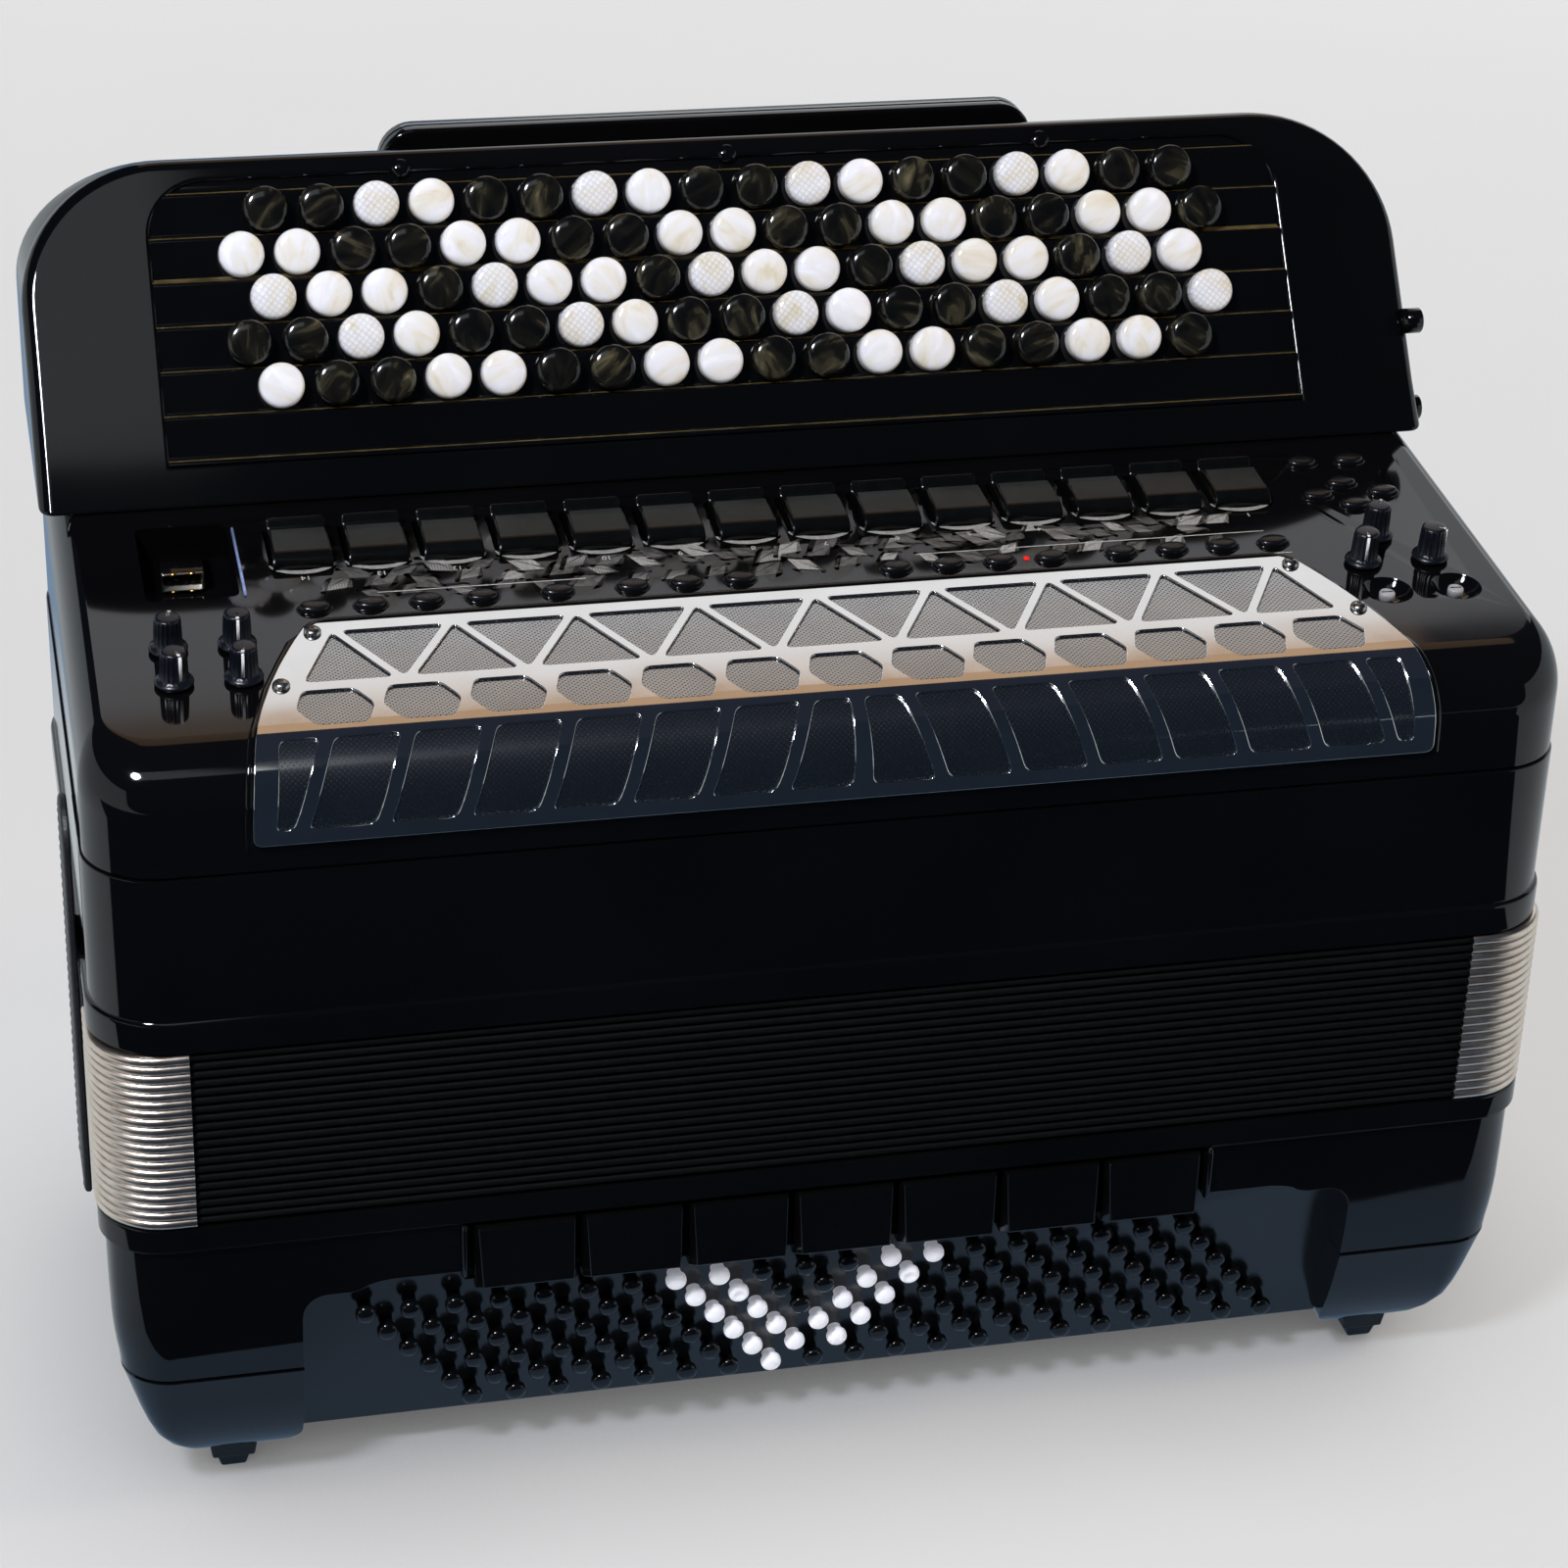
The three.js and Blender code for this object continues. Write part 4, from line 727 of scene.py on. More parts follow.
def copies_at(group, source, points, shape, output, **turns):
    """Ends a group: copies of an object at its points, joined into one mesh of one material."""
    copy = put(group, "GeometryNodeObjectInfo", {"Object": source[shape]}).outputs["Geometry"]
    copies = put(group, "GeometryNodeInstanceOnPoints", {"Points": points, "Instance": copy, **turns})
    joined = put(group, "GeometryNodeRealizeInstances", {"Geometry": copies.outputs["Instances"]})
    finish = {"Geometry": joined.outputs["Geometry"], "Material": source["Finish"]}
    put(group, "NodeGroupOutput", {output: put(group, "GeometryNodeSetMaterial", finish).outputs["Geometry"]})
    return group


def grown(made, group, **values):
    """Gives an object the mesh that a node group makes from it and from the values."""
    modifier = made.modifiers.new("copies", "NODES")
    modifier.node_group = group
    for socket in group.interface.items_tree:
        if socket.name in values:
            modifier[socket.identifier] = values[socket.name]
    baked = evaluated(made)
    made.modifiers.clear()
    made.data = baked
    baked.name = made.name
    return made


button_rows, source = new_group("row of buttons", (("Row", "Geometry"), ("Cap", "Object"), ("Finish", "Material")),
                                "Buttons")
seats = put(button_rows, "GeometryNodeMeshToPoints", {"Mesh": source["Row"]}).outputs["Points"]
copies_at(button_rows, source, seats, "Cap", "Buttons")


def row_of(name, cap, places, finish, attributes):
    """Copies of a cap at the places, each with its own attribute values, as one mesh."""
    mesh = bpy.data.meshes.new(name)
    mesh.from_pydata([tuple(p) for p in places], [], [])
    for key, values in attributes.items():
        mesh.attributes.new(key, "FLOAT", "POINT").data.foreach_set("value", [float(v) for v in values])
    return grown(linked(name, mesh), button_rows, Cap=cap, Finish=finish)


def leaning(up, out):
    """The function that puts u across, v up and w out of a leaning face, around its own middle."""
    return lambda u, v, w: Vector((u * MM, 0, 0)) + (up * v + out * w) * MM


treble_cap = turned("treble_cap", cap_profile, 36, leaning(CAP_UP, CAP_OUT))
spin = random.Random(7)
for row, count in enumerate(TREBLE_ROWS):
    places = [on_row(row, (i - (count - 1) / 2) * TREBLE_PITCH) for i in range(count)]
    buttons = row_of("treble_buttons_%d" % (row + 1), treble_cap, places, pearl, {
        "tone": [i in WHITE_CAPS[row] for i in range(count)],
        "hatch": [i in HATCHED_CAPS[row] for i in range(count)],
        "turn": [spin.uniform(-1.3, 1.3) for i in range(count)],
    })
    half_rail = count / 2 * TREBLE_PITCH
    rail = block("rail", (-half_rail, -2.4, -10.5), (half_rail, 2.4, -1.0), around_spot(on_row, row), gloss_abs)
    buttons = merged("treble_buttons_%d" % (row + 1), [buttons, rail])
    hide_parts("treble_row_%d" % (row + 1))
    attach(buttons, "treble_row_%d" % (row + 1))
bpy.data.objects.remove(treble_cap)

# ---------------------------------------------------------------- register keys
# Fourteen rocker keys in ABS with satin tops and polished flanks, each with a scooped rear and a raised back
# lip, set in wells of the panel; the tops are painted lighter grey as lit and the flanks darker as shade. A pale
# crescent is printed before each key, with its plain number.
key_profile = ((-12.5, -3.0), (-12.5, 2.2), (-11.2, 3.9), (-8.5, 4.9), (0.0, 5.25), (4.4, 5.3), (5.6, 4.6), (6.8, 3.1),
               (8.6, 2.7), (9.8, 3.5), (10.6, 5.1), (11.6, 5.6), (12.5, 5.0), (12.5, 0.0), (10.5, -6.0))
# One black ABS from one mould, with wear marks 4.5 mm apart: the satin tops painted lighter grey as lit,
# the polished flanks painted darker as shade
keys_painted_lit_tops = speckled("satin black ABS of the keys", 220.0, 3.0, ("#242625", "#2B2D2D"), (0.3, 0.4),
                   Specular_IOR_Level=0.18)
keys_painted_shaded_flanks = speckled("polished black ABS of the keys' flanks", 220.0, 3.0, ("#070808", "#0C0D0D"), 0.16,
                     Specular_IOR_Level=0.3)
# Screen-printed ink, with a speckle of 1.1 mm in the grey one and of 0.8 mm in the white one
pale_print = speckled("grey screen print", 900.0, 2.0, ("#868684", "#A3A3A0"), 0.35, places=(0.35, 0.65))
white_print = speckled("white screen print", 1200.0, 2.0, ("#A9A9A5", "#C9C9C5"), 0.4)

prints = []
for i in range(REGISTER_COUNT):
    x = (i - (REGISTER_COUNT - 1) / 2) * REGISTER_PITCH
    half = REGISTER_SIZE[0] / 2
    rings = []
    for u, draw in ((-half, 0.55), (-half + 0.25, 0.25), (-half + 0.9, 0.0), (half - 0.9, 0.0), (half - 0.25, 0.25),
                    (half, 0.55)):
        ring = []
        for v, w in key_profile:
            ring.append(on_panel(x, REGISTER_Y, u * (1 - 0.035 * (v + 12.5) / 25), v, w - (draw if w > 0 else 0)))
        rings.append(ring)
    key = outward(skin("register_key_%d" % (i + 1), rings, keys_painted_lit_tops))
    finished(key, bevel(0.8, 3, 38), split=40)
    key.data.materials.append(keys_painted_shaded_flanks)
    # Faces looking straight out of the panel take the painted light grey; flanks, bevels and scoop take the painted
    # shade
    for polygon in key.data.polygons:
        polygon.material_index = 0 if polygon.normal.dot(PANEL_NORMAL) > 0.985 else 1
    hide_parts("treble_register_%d" % (i + 1))
    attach(key, "treble_register_%d" % (i + 1))
    crescent = []
    for k in range(25):
        a = math.pi + k / 24 * math.pi
        crescent.append((10.6 * math.cos(a) * (1.02 if abs(math.cos(a)) > 0.9 else 1), -9.2 + 6.4 * math.sin(a)))
    inner = [(p[0] * 0.93, -9.4 + (p[1] + 9.2) * 0.62) for p in reversed(crescent)]
    loop = [on_panel(x, REGISTER_Y, u, v, 0.05) for u, v in crescent + inner]
    bands = [(k, k + 1, 48 - k, 49 - k) for k in range(24)]
    prints.append(object_from("crescent", loop, bands, pale_print))
    letters = bpy.data.curves.new("number", "FONT")
    letters.body = str(REGISTER_COUNT - i)
    letters.size = 3.4 * MM
    letters.align_x = letters.align_y = "CENTER"
    text = linked("number", letters)
    flat = evaluated(text)
    bpy.data.objects.remove(text)
    base = on_panel(x, REGISTER_Y, 0, -18.2, 0.06)
    for vertex in flat.vertices:
        vertex.co = base - Vector((1, 0, 0)) * vertex.co.x - PANEL_ALONG * vertex.co.y
    flat.materials.append(white_print)
    prints.append(linked("number", flat))

# ---------------------------------------------------------------- panel print
# A grey generic print of plain lozenges, some with halftone dots, runs between the keys and the grille.
# It is screen-printed on the panel, under fine grey lines at the grille's top edge.
# Screen-printed ink as halftone dots 0.9 mm apart, and as a dim mottle of 3 mm
halftone, tree = new_material("halftone screen print")
even_dots = {"Vector": object_place(tree), "Scale": 1100.0, "Randomness": 0.0}
dots = put(tree, "ShaderNodeTexVoronoi", even_dots, feature="F1").outputs["Distance"]
surface(tree, Base_Color=ramp(tree, dots, [(0.25, "#A2A2A0"), (0.5, "#565655")]), Roughness=0.3)
dim_print = speckled("dim screen print", 300.0, 3.0, ("#3A3A3A", "#575756"), 0.2, places=(0.35, 0.65))
pick = random.Random(21)
LOZENGES = 64
for k in range(LOZENGES):
    u = -150 + 300 * (k + 0.5) / LOZENGES + pick.uniform(-1.5, 1.5)
    v = 98.5 + 7.5 * math.sin(k * 2.1) + pick.uniform(-2, 2)
    size = pick.uniform(4.0, 7.2)
    angle = pick.choice((-0.6, 0.6)) + pick.uniform(-0.15, 0.15)
    loop = []
    for sx, sy in ((1, 0), (0, 1), (-1, 0), (0, -1)):
        for t in (-0.22, 0.0, 0.22):
            corner = Vector((sx - abs(t) * sx * 0.45 + t * sy, sy - abs(t) * sy * 0.45 - t * sx, 0))
            cu, cv = corner.x * size * 1.35, corner.y * size * 0.8
            loop.append((u + cu * math.cos(angle) - cv * math.sin(angle),
                         v + cu * math.sin(angle) + cv * math.cos(angle)))
    height = 0.02 + 0.0006 * k
    finish = pick.choice((dim_print, dim_print, pale_print, halftone))
    corners = [on_panel(a, b, w=height) for a, b in loop]
    prints.append(object_from("lozenge", corners, [tuple(reversed(range(12)))], finish))
for low_x, high_x, y in ((-137, -38, 78.4), (22, 165, 78.4), (-137, -70, 92.3), (40, 160, 93.2)):
    corners = [on_panel(a, b, w=0.07) for a, b in ((low_x, y), (high_x, y), (high_x, y + 0.45), (low_x, y + 0.45))]
    prints.append(object_from("line", corners, [(0, 1, 2, 3)], white_print))
panel_print = merged("panel_print", prints)


def face_up(bm):
    """Turns every printed face out of the panel."""
    for face in bm.faces:
        if face.normal.dot(PANEL_NORMAL) < 0:
            face.normal_flip()


edited(panel_print.data, face_up)
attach(panel_print, "treble_side")

# ---------------------------------------------------------------- oval push buttons
# Small domed ovals of soft black rubber, moulded together on the keypad under the panel. A red lamp shows
# between two of them.
OVAL_FRONT = (-0.6658, -0.5908, -0.5158, -0.4408, -0.3388, -0.2364, -0.1618, -0.0877,
              0.1315, 0.2052, 0.279, 0.3527, 0.4539, 0.528, 0.6022, 0.6764)
OVAL_REAR = ((0.7927, 0.5853), (0.8647, 0.5853), (0.8302, 0.519), (0.7838, 0.4875), (0.8302, 0.4569),
             (0.8824, 0.4875))
# Satin keypad rubber, pressed in a mould, with a bloom of 4 mm patches
keypad_rubber = speckled("satin keypad rubber", 260.0, 3.0, ("#0C0D0F", "#131519"), 0.22)
oval_profile = [(0, -3.5), (4.9, -3.5), (5.0, 0.9), (4.8, 1.5), (4.3, 1.9), (3.4, 2.1), (1.8, 2.18), (0, 2.2)]
oval_cap = turned("oval_cap", oval_profile, 32,
                  lambda u, v, w: Vector((u * MM, 0, 0)) + (PANEL_ALONG * v * 0.62 + PANEL_NORMAL * w) * MM)
oval_ring = turned("oval_ring", [(5.0, 0.0), (5.15, 0.35), (5.45, 0.5), (5.8, 0.35), (5.9, 0.0)], 32,
                   lambda u, v, w: Vector((u * MM, 0, 0)) + (PANEL_ALONG * v * 0.66 + PANEL_NORMAL * w) * MM)
groups = {
    "oval_buttons_front": [on_panel(s * HALF_WIDTH, 85.0) for s in OVAL_FRONT],
    "oval_buttons_rear": [on_panel(s[0] * HALF_WIDTH, s[1] * BODY_DEPTH) for s in OVAL_REAR],
}
for name, places in groups.items():
    ovals = row_of(name + "_caps", oval_cap, places, keypad_rubber, {})
    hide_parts(name)
    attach(ovals, name)
bezels = row_of("oval_bezels", oval_ring, [p for places in groups.values() for p in places], gloss_abs, {})
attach(bezels, "treble_side")
bpy.data.objects.remove(oval_cap)
bpy.data.objects.remove(oval_ring)

# Lit red lens: clear moulded polycarbonate over a lamp, uneven over 1.1 mm
lit_red = speckled("lit red lamp", 900.0, 2.0, ("#9C0F0C", "#C41712"), 0.2,
                   Emission_Color=hex_colour("#E02018"), Emission_Strength=0.9)
lamp_dot = turned("power_lamp", [(0, -1.0), (1.0, -1.0), (1.0, 0.3), (0.7, 0.6), (0, 0.7)], 20,
                  around_spot(on_panel, 75.5, 86.0), lit_red)
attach(lamp_dot, "treble_side")

# ---------------------------------------------------------------- knobs
# Turned-looking control knobs moulded in soft blue-black plastic, with a fluted grip over a wide skirt and a
# white pointer line. The two trims are small grey pins in bowls of the panel.
KNOBS = {
    "knob_left_1": ((-205.4, 47.0), 25), "knob_left_2": ((-184.2, 47.0), -8), "knob_left_3": ((-205.4, 66.5), 165),
    "knob_left_4": ((-184.2, 66.5), 0), "knob_right_1": ((186.2, 68.8), -12), "knob_right_2": ((209.7, 68.8), 60),
    "knob_right_3": ((196.2, 85.0), 150),
}
# Soft-touch plastic, moulded with a matt grain of 1.4 mm, and sprayed white paint with a 1.3 mm speckle
knob_plastic = speckled("soft-touch knob plastic", 700.0, 4.0, ("#090C13", "#10141D"), 0.3, relief=(0.2, 0.0001))
pointer_white = speckled("white pointer paint", 800.0, 2.0, ("#D9DADD", "#F0F0F2"), 0.35)
grip_profile = [(0, -8), (2.5, -8), (2.5, 0.5), (5.7, 0.5), (6.05, 0.8), (6.1, 1.4), (5.95, 1.8), (5.4, 2.2),
                (4.7, 2.6), (4.5, 3.2), (4.35, 8.0), (4.2, 11.1), (3.95, 11.9), (3.5, 12.2), (2.8, 12.3), (0, 12.3)]


def along_pointer(place, angle):
    """The function that puts u along a knob's pointer, v across it and w out of the panel."""
    a = math.radians(angle - 90)
    return lambda u, v, w: on_panel(*place, u * math.cos(a) - v * math.sin(a), u * math.sin(a) + v * math.cos(a), w)


for name, (place, angle) in KNOBS.items():
    grip = turned(name + "_grip", grip_profile, 90, around_spot(on_panel, *place), knob_plastic,
                  flute=0.4, flutes=18, fluted=(3.0, 11.5))
    along = along_pointer(place, angle)
    top = block("pointer", (0.6, -0.5, 12.1), (3.8, 0.5, 12.3), along, pointer_white)
    side = block("pointer", (3.9, -0.45, 3.4), (4.42, 0.45, 11.8), along, pointer_white)
    knob = merged(name + "_grip", [grip, top, side])
    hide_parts(name)
    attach(knob, name)

# Grey plastic of the trims, moulded, with a mottle of 2 mm
grey_pin = speckled("grey moulded pin", 500.0, 2.0, ("#98989A", "#AFAFB0"), 0.4)
pin_profile = [(0, -8), (1.2, -8), (1.2, -4.1), (2.6, -4.0), (2.65, -1.3), (2.45, -0.8), (2.0, -0.62), (0, -0.6)]
for name, place in TRIMS.items():
    spot = around_spot(on_panel, *place)
    pin = turned(name + "_pin", pin_profile, 36, spot, grey_pin, flute=0.15, flutes=12, fluted=(-3.9, -1.4))
    slot_line = block("slot", (-1.9, -0.3, -0.62), (1.9, 0.3, -0.55), spot, knob_plastic)
    pin = merged(name + "_pin", [pin, slot_line])
    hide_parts(name)
    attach(pin, name)

# ---------------------------------------------------------------- memory socket
# A folded steel shell with a black insert and gilt contacts, lying in the pocket with its mouth to the front
# and a black cover over its back. A thin moulded fin stands on the panel at the pocket's right side.
# Bright steel sheet, rolled and folded, with fine lines 0.7 mm apart along its length
folded_steel, tree = new_material("folded steel")
lengthwise = put(tree, "ShaderNodeMapping", {"Vector": object_place(tree), "Scale": (60.0, 1500.0, 1500.0)})
brushed = noise(tree, lengthwise.outputs["Vector"], 1.0, 3.0)
surface(tree, Base_Color=ramp(tree, brushed, [(0.3, "#B9B4A4"), (0.7, "#DAD6C8")]), Metallic=1.0, Roughness=0.25)
# Gold flash on pressed bronze, with scuffs of 1.1 mm
gilt = speckled("gilt contact", 900.0, 2.0, ("#B98F3A", "#D9B45C"), 0.3, Metallic=1.0)
socket_low, socket_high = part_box("memory_socket")
socket_middle = (socket_low + socket_high) / 2


def in_socket(x, y, z):
    """A place in the socket: across, along the slope and out of the panel, in millimetres."""
    return socket_middle + Vector((x, 0, 0)) * MM + (PANEL_ALONG * y + PANEL_NORMAL * z) * MM


def tube_of(name, outer, inner, front, back, material):
    """A rectangular tube along Y with rounded corners."""
    mouth = [(x * 0.985, z * 0.97) for x, z in outer]
    rings = [[in_socket(x, y, z) for x, z in loop] for loop, y in
             ((outer, back), (outer, front + 0.3), (mouth, front), (inner, front), (inner, back - 1))]
    return outward(skin(name, rings, material))


shell = tube_of("socket_shell", rounded_outline(6.9, 3.3, 0.8, 3), rounded_outline(6.3, 2.7, 0.5, 3), -8.6, 8.6,
                folded_steel)
tongue = block("socket_tongue", (-5.4, -7.2, -0.2), (5.4, 7.4, 1.2), in_socket, gloss_abs)
contacts = [block("contact", (x - 0.5, -7.0, -0.32), (x + 0.5, 2.0, -0.2), in_socket, gilt)
            for x in (-3.5, -1.2, 1.2, 3.5)]
springs = [block("spring", (x - 0.9, -9.0, z), (x + 0.9, -6.0, z + 0.35), in_socket, gilt)
           for x in (-3.0, 3.0) for z in (-3.4, 3.05)]
hood = tube_of("socket_hood", rounded_outline(7.1, 3.5, 0.8, 3), rounded_outline(6.95, 3.35, 0.8, 3), -7.9, 8.65,
               gloss_abs)
socket = merged("memory_stick_socket", [shell, tongue, hood] + contacts + springs)
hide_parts("memory_socket")
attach(socket, "treble_side")


def bead_around(middle, half, height):
    """Nine places of a rounded bead's section: how far from its middle, and how high."""
    return [(middle + half * math.cos(a), height * math.sin(a)) for a in (k / 8 * math.pi for k in range(9))]


FIN_X = -178.4
rings = [[on_panel(x, y, w=w - 0.1) for x, w in bead_around(FIN_X, half, high)]
         for y, half, high in ((96.0, 0.2, 0.3), (96.6, 0.55, 1.3), (137.4, 0.55, 1.3), (138.0, 0.2, 0.3))]
# Polished ABS, moulded thin, whose colour is a painted blue-grey reflection of the sky, mottled over 3 mm
fin_painted_reflection = speckled("blue-grey polished ABS of the fin", 300.0, 2.0, ("#6F82B4", "#9AA9D2"), 0.2)
fin = outward(skin("pocket_fin", rings, fin_painted_reflection))
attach(fin, "treble_side")

# ---------------------------------------------------------------- grille
# A chrome-plated steel plate that covers the speakers, bent over the front edge and held by four domed
# screws. Its windows are punched in a plain lattice, with a perforated steel sheet behind them.
GRILLE_FOOT, GRILLE_TOP = 249.9, 74.0
GRILLE_HALF, GRILLE_NARROWING = 187.3, 25.3
PLATE_LIFT, PLATE_HALF_THICK = 1.0, 0.6
FRONT_RUN = PANEL_FRONT - EDGE_FRONT - GRILLE_FOOT
BEND_STEPS = 30
bend_line = []
for k in range(BEND_STEPS + 1):
    a = k / BEND_STEPS * math.pi / 2
    y = EDGE_FRONT * (1 - math.cos(a))
    bend_line.append((y, panel_height(y) - EDGE_FRONT * (1 - math.sin(a))))
grille_line = [(0.0, GRILLE_FOOT)] + bend_line + [(GRILLE_TOP, panel_height(GRILLE_TOP))]
walked = [0.0]
for (y0, z0), (y1, z1) in zip(grille_line, grille_line[1:]):
    walked.append(walked[-1] + math.hypot(y1 - y0, z1 - z0))
GRILLE_RUN = walked[-1]


def bend_frame(s):
    """The point, the way along and the way out of the body's front edge, s millimetres above the plate's foot."""
    s = min(max(s, -6.0), GRILLE_RUN + 6.0)
    k = max(i for i in range(len(walked) - 1) if i == 0 or walked[i] <= s)
    share = (s - walked[k]) / (walked[k + 1] - walked[k])
    (y0, z0), (y1, z1) = grille_line[k], grille_line[k + 1]
    along = Vector((0, y1 - y0, z1 - z0)).normalized()
    if 1 <= k <= BEND_STEPS:
        turn = (k - 1 + share) / BEND_STEPS * math.pi / 2
        rise = PANEL_ALONG.z / PANEL_ALONG.y * math.sin(turn) + math.cos(turn)
        along = Vector((0, math.sin(turn), rise)).normalized()
    return Vector((0, y0 + (y1 - y0) * share, z0 + (z1 - z0) * share)), along, Vector((0, -along.z, along.y))


def on_grille(x, s, w):
    """A place on the bent plate: across, along from its foot and out of it, in millimetres."""
    point, along, out = bend_frame(s)
    spot = point + out * w
    return at(x, spot.y, spot.z)


def grille_half(s):
    """Half the plate's width, which narrows towards its top."""
    return GRILLE_HALF - GRILLE_NARROWING * min(max(s / GRILLE_RUN, 0.0), 1.0) ** 2


def rounded_polygon(corners, radius, steps=4):
    """Points of a polygon with each corner rounded."""
    points = []
    count = len(corners)
    for i in range(count):
        here, before, after = (Vector(corners[j % count]) for j in (i, i - 1, i + 1))
        reach = min(radius, (before - here).length / 2.2, (after - here).length / 2.2)
        first, last = here + (before - here).normalized() * reach, here + (after - here).normalized() * reach
        for k in range(steps + 1):
            t = k / steps
            points.append(first * (1 - t) ** 2 + here * 2 * t * (1 - t) + last * t * t)
    return points


def trimmed(corners, margin):
    """A window's outline, cut off before the plate's ends."""
    for side in (-1, 1):
        kept = []
        for (x0, s0), (x1, s1) in zip(corners, corners[1:] + corners[:1]):
            over0, over1 = (side * x - grille_half(s) + margin for x, s in ((x0, s0), (x1, s1)))
            if over0 <= 0:
                kept.append((x0, s0))
            if over0 * over1 < 0:
                share = over0 / (over0 - over1)
                kept.append((x0 + (x1 - x0) * share, s0 + (s1 - s0) * share))
        corners = kept
    return corners


def plain_windows():
    """Window outlines: a truss of triangles on the top, hexagons above the bend, slanted bars on the front."""
    windows = []
    half, rib, pitch = 22.0, 5.6, 19.4
    for i in range(-11, 12):
        x, low, high = i * pitch, 60.5, 89.5
        flat, point = (high, low) if i % 2 else (low, high)
        windows.append(([(x - half + rib, flat), (x + half - rib, flat), (x, point)], 3.0, 10.0))
    for i in range(-7, 8):
        x = i * 26.5
        corners = [(-12.2, 46.0), (-7.0, 36.5), (9.0, 36.5), (12.2, 46.5), (7.0, 56.0), (-9.0, 56.0)]
        windows.append(([(x + u, s) for u, s in corners], 2.5, 10.0))
    lean, bar_low, bar_high = 10.0, 4.2, 32.0
    for side in (-1, 1):
        for i in range(8):
            x = 3.0 + i * 24.6
            windows.append(([(side * x, bar_low), (side * (x + 20.6), bar_low), (side * (x + 20.6 - lean), bar_high),
                             (side * max(x - lean, 1.8 + 0.2 * i), bar_high)], 3.0, 6.5))
    fitting = []
    for corners, radius, margin in windows:
        corners = trimmed(corners, margin)
        wide = max(x for x, s in corners) - min(x for x, s in corners) if len(corners) > 2 else 0.0
        if wide > 9.0:
            fitting.append(rounded_polygon(corners, radius))
    return fitting


sheet_edge = [(-grille_half(s), s) for s in (0.0, 12.0, 24.0, 36.0, 48.0, 60.0, 72.0, 84.0, GRILLE_RUN)]
sheet_edge = [(-x, s) for x, s in sheet_edge] + [(x, s) for x, s in reversed(sheet_edge)]
plate_curve = bpy.data.curves.new("plate_outline", "CURVE")
plate_curve.dimensions = "2D"
plate_curve.fill_mode = "BOTH"
plate_curve.extrude = (PLATE_HALF_THICK - 0.3) * MM
plate_curve.bevel_depth = 0.3 * MM
plate_curve.bevel_resolution = 2
for outline in [rounded_polygon(sheet_edge, 3.0)] + plain_windows():
    spline = plate_curve.splines.new("POLY")
    spline.points.add(len(outline) - 1)
    for point, spot in zip(spline.points, outline):
        point.co = (spot[0] * MM, spot[1] * MM, 0, 1)
    spline.use_cyclic_u = True
flat = linked("plate_outline", plate_curve)
mesh = evaluated(flat)
bpy.data.objects.remove(flat)
bends = [FRONT_RUN + k / 24 * (walked[BEND_STEPS + 1] - FRONT_RUN) for k in range(25)] + [60.0, 75.0]


def crease(bm):
    """Cuts lines across the flat plate where it bends."""
    bmesh.ops.remove_doubles(bm, verts=bm.verts, dist=1e-6)
    for s in bends:
        everything = bm.verts[:] + bm.edges[:] + bm.faces[:]
        bmesh.ops.bisect_plane(bm, geom=everything, plane_co=(0, s * MM, 0), plane_no=(0, 1, 0), dist=1e-7)


edited(mesh, crease)
mesh.shade_smooth()
mesh.set_sharp_from_angle(angle=math.radians(50))
normals = []
for polygon in mesh.polygons:
    level = abs(polygon.normal.z) > 0.999
    for loop in polygon.loop_indices:
        n = polygon.normal if level else mesh.corner_normals[loop].vector
        spot = mesh.vertices[mesh.loops[loop].vertex_index].co
        _, along, out = bend_frame(spot.y / MM)
        normals.append((Vector((n.x, 0, 0)) + along * n.y + out * n.z).normalized())
for vertex in mesh.vertices:
    vertex.co = on_grille(vertex.co.x / MM, vertex.co.y / MM, PLATE_LIFT + vertex.co.z / MM)
mesh.normals_split_custom_set(normals)
mesh.name = "chrome_plate"

# Chrome plating on steel: a polished mirror, with the waves that punching and bending leave, 40 mm long
chrome_plating, tree = new_material("chrome plating")
coordinates = object_place(tree)
haze = noise(tree, coordinates, 60.0, 4.0)
wavy = bump(tree, noise(tree, coordinates, 26.0, 1.5), 0.05, 0.001)
surface(tree, Base_Color=ramp(tree, haze, [(0.3, "#E6E4E0"), (0.7, "#F0EFEC")]), Metallic=1.0,
        Roughness=spread(tree, haze, 0.03, 0.09), Normal=wavy)
mesh.materials.clear()
mesh.materials.append(chrome_plating)
chrome_plate = linked("chrome_plate", mesh)
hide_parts("grille")
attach(chrome_plate, "treble_side")

# Perforated steel: punched round holes 0.6 mm wide, staggered 1.2 mm apart, drawn as dark grey spots of painted shade
# for the dark behind them
perforated, tree = new_material("perforated steel")
flat_place = put(tree, "ShaderNodeUVMap").outputs["UV"]
staggered = put(tree, "ShaderNodeMapping",
                {"Vector": flat_place, "Rotation": (0, 0, math.radians(45)), "Scale": (800, 800, 800)})
cells = put(tree, "ShaderNodeTexVoronoi", {"Vector": staggered.outputs["Vector"], "Scale": 1.0, "Randomness": 0.0},
            voronoi_dimensions="2D").outputs["Distance"]
metal = spread(tree, cells, 0.0, 1.0, 0.2, 0.3)
steel_colour = ramp(tree, noise(tree, flat_place, 40.0, 3.0), [(0.3, "#B0B3B4"), (0.7, "#BEC0C0")])
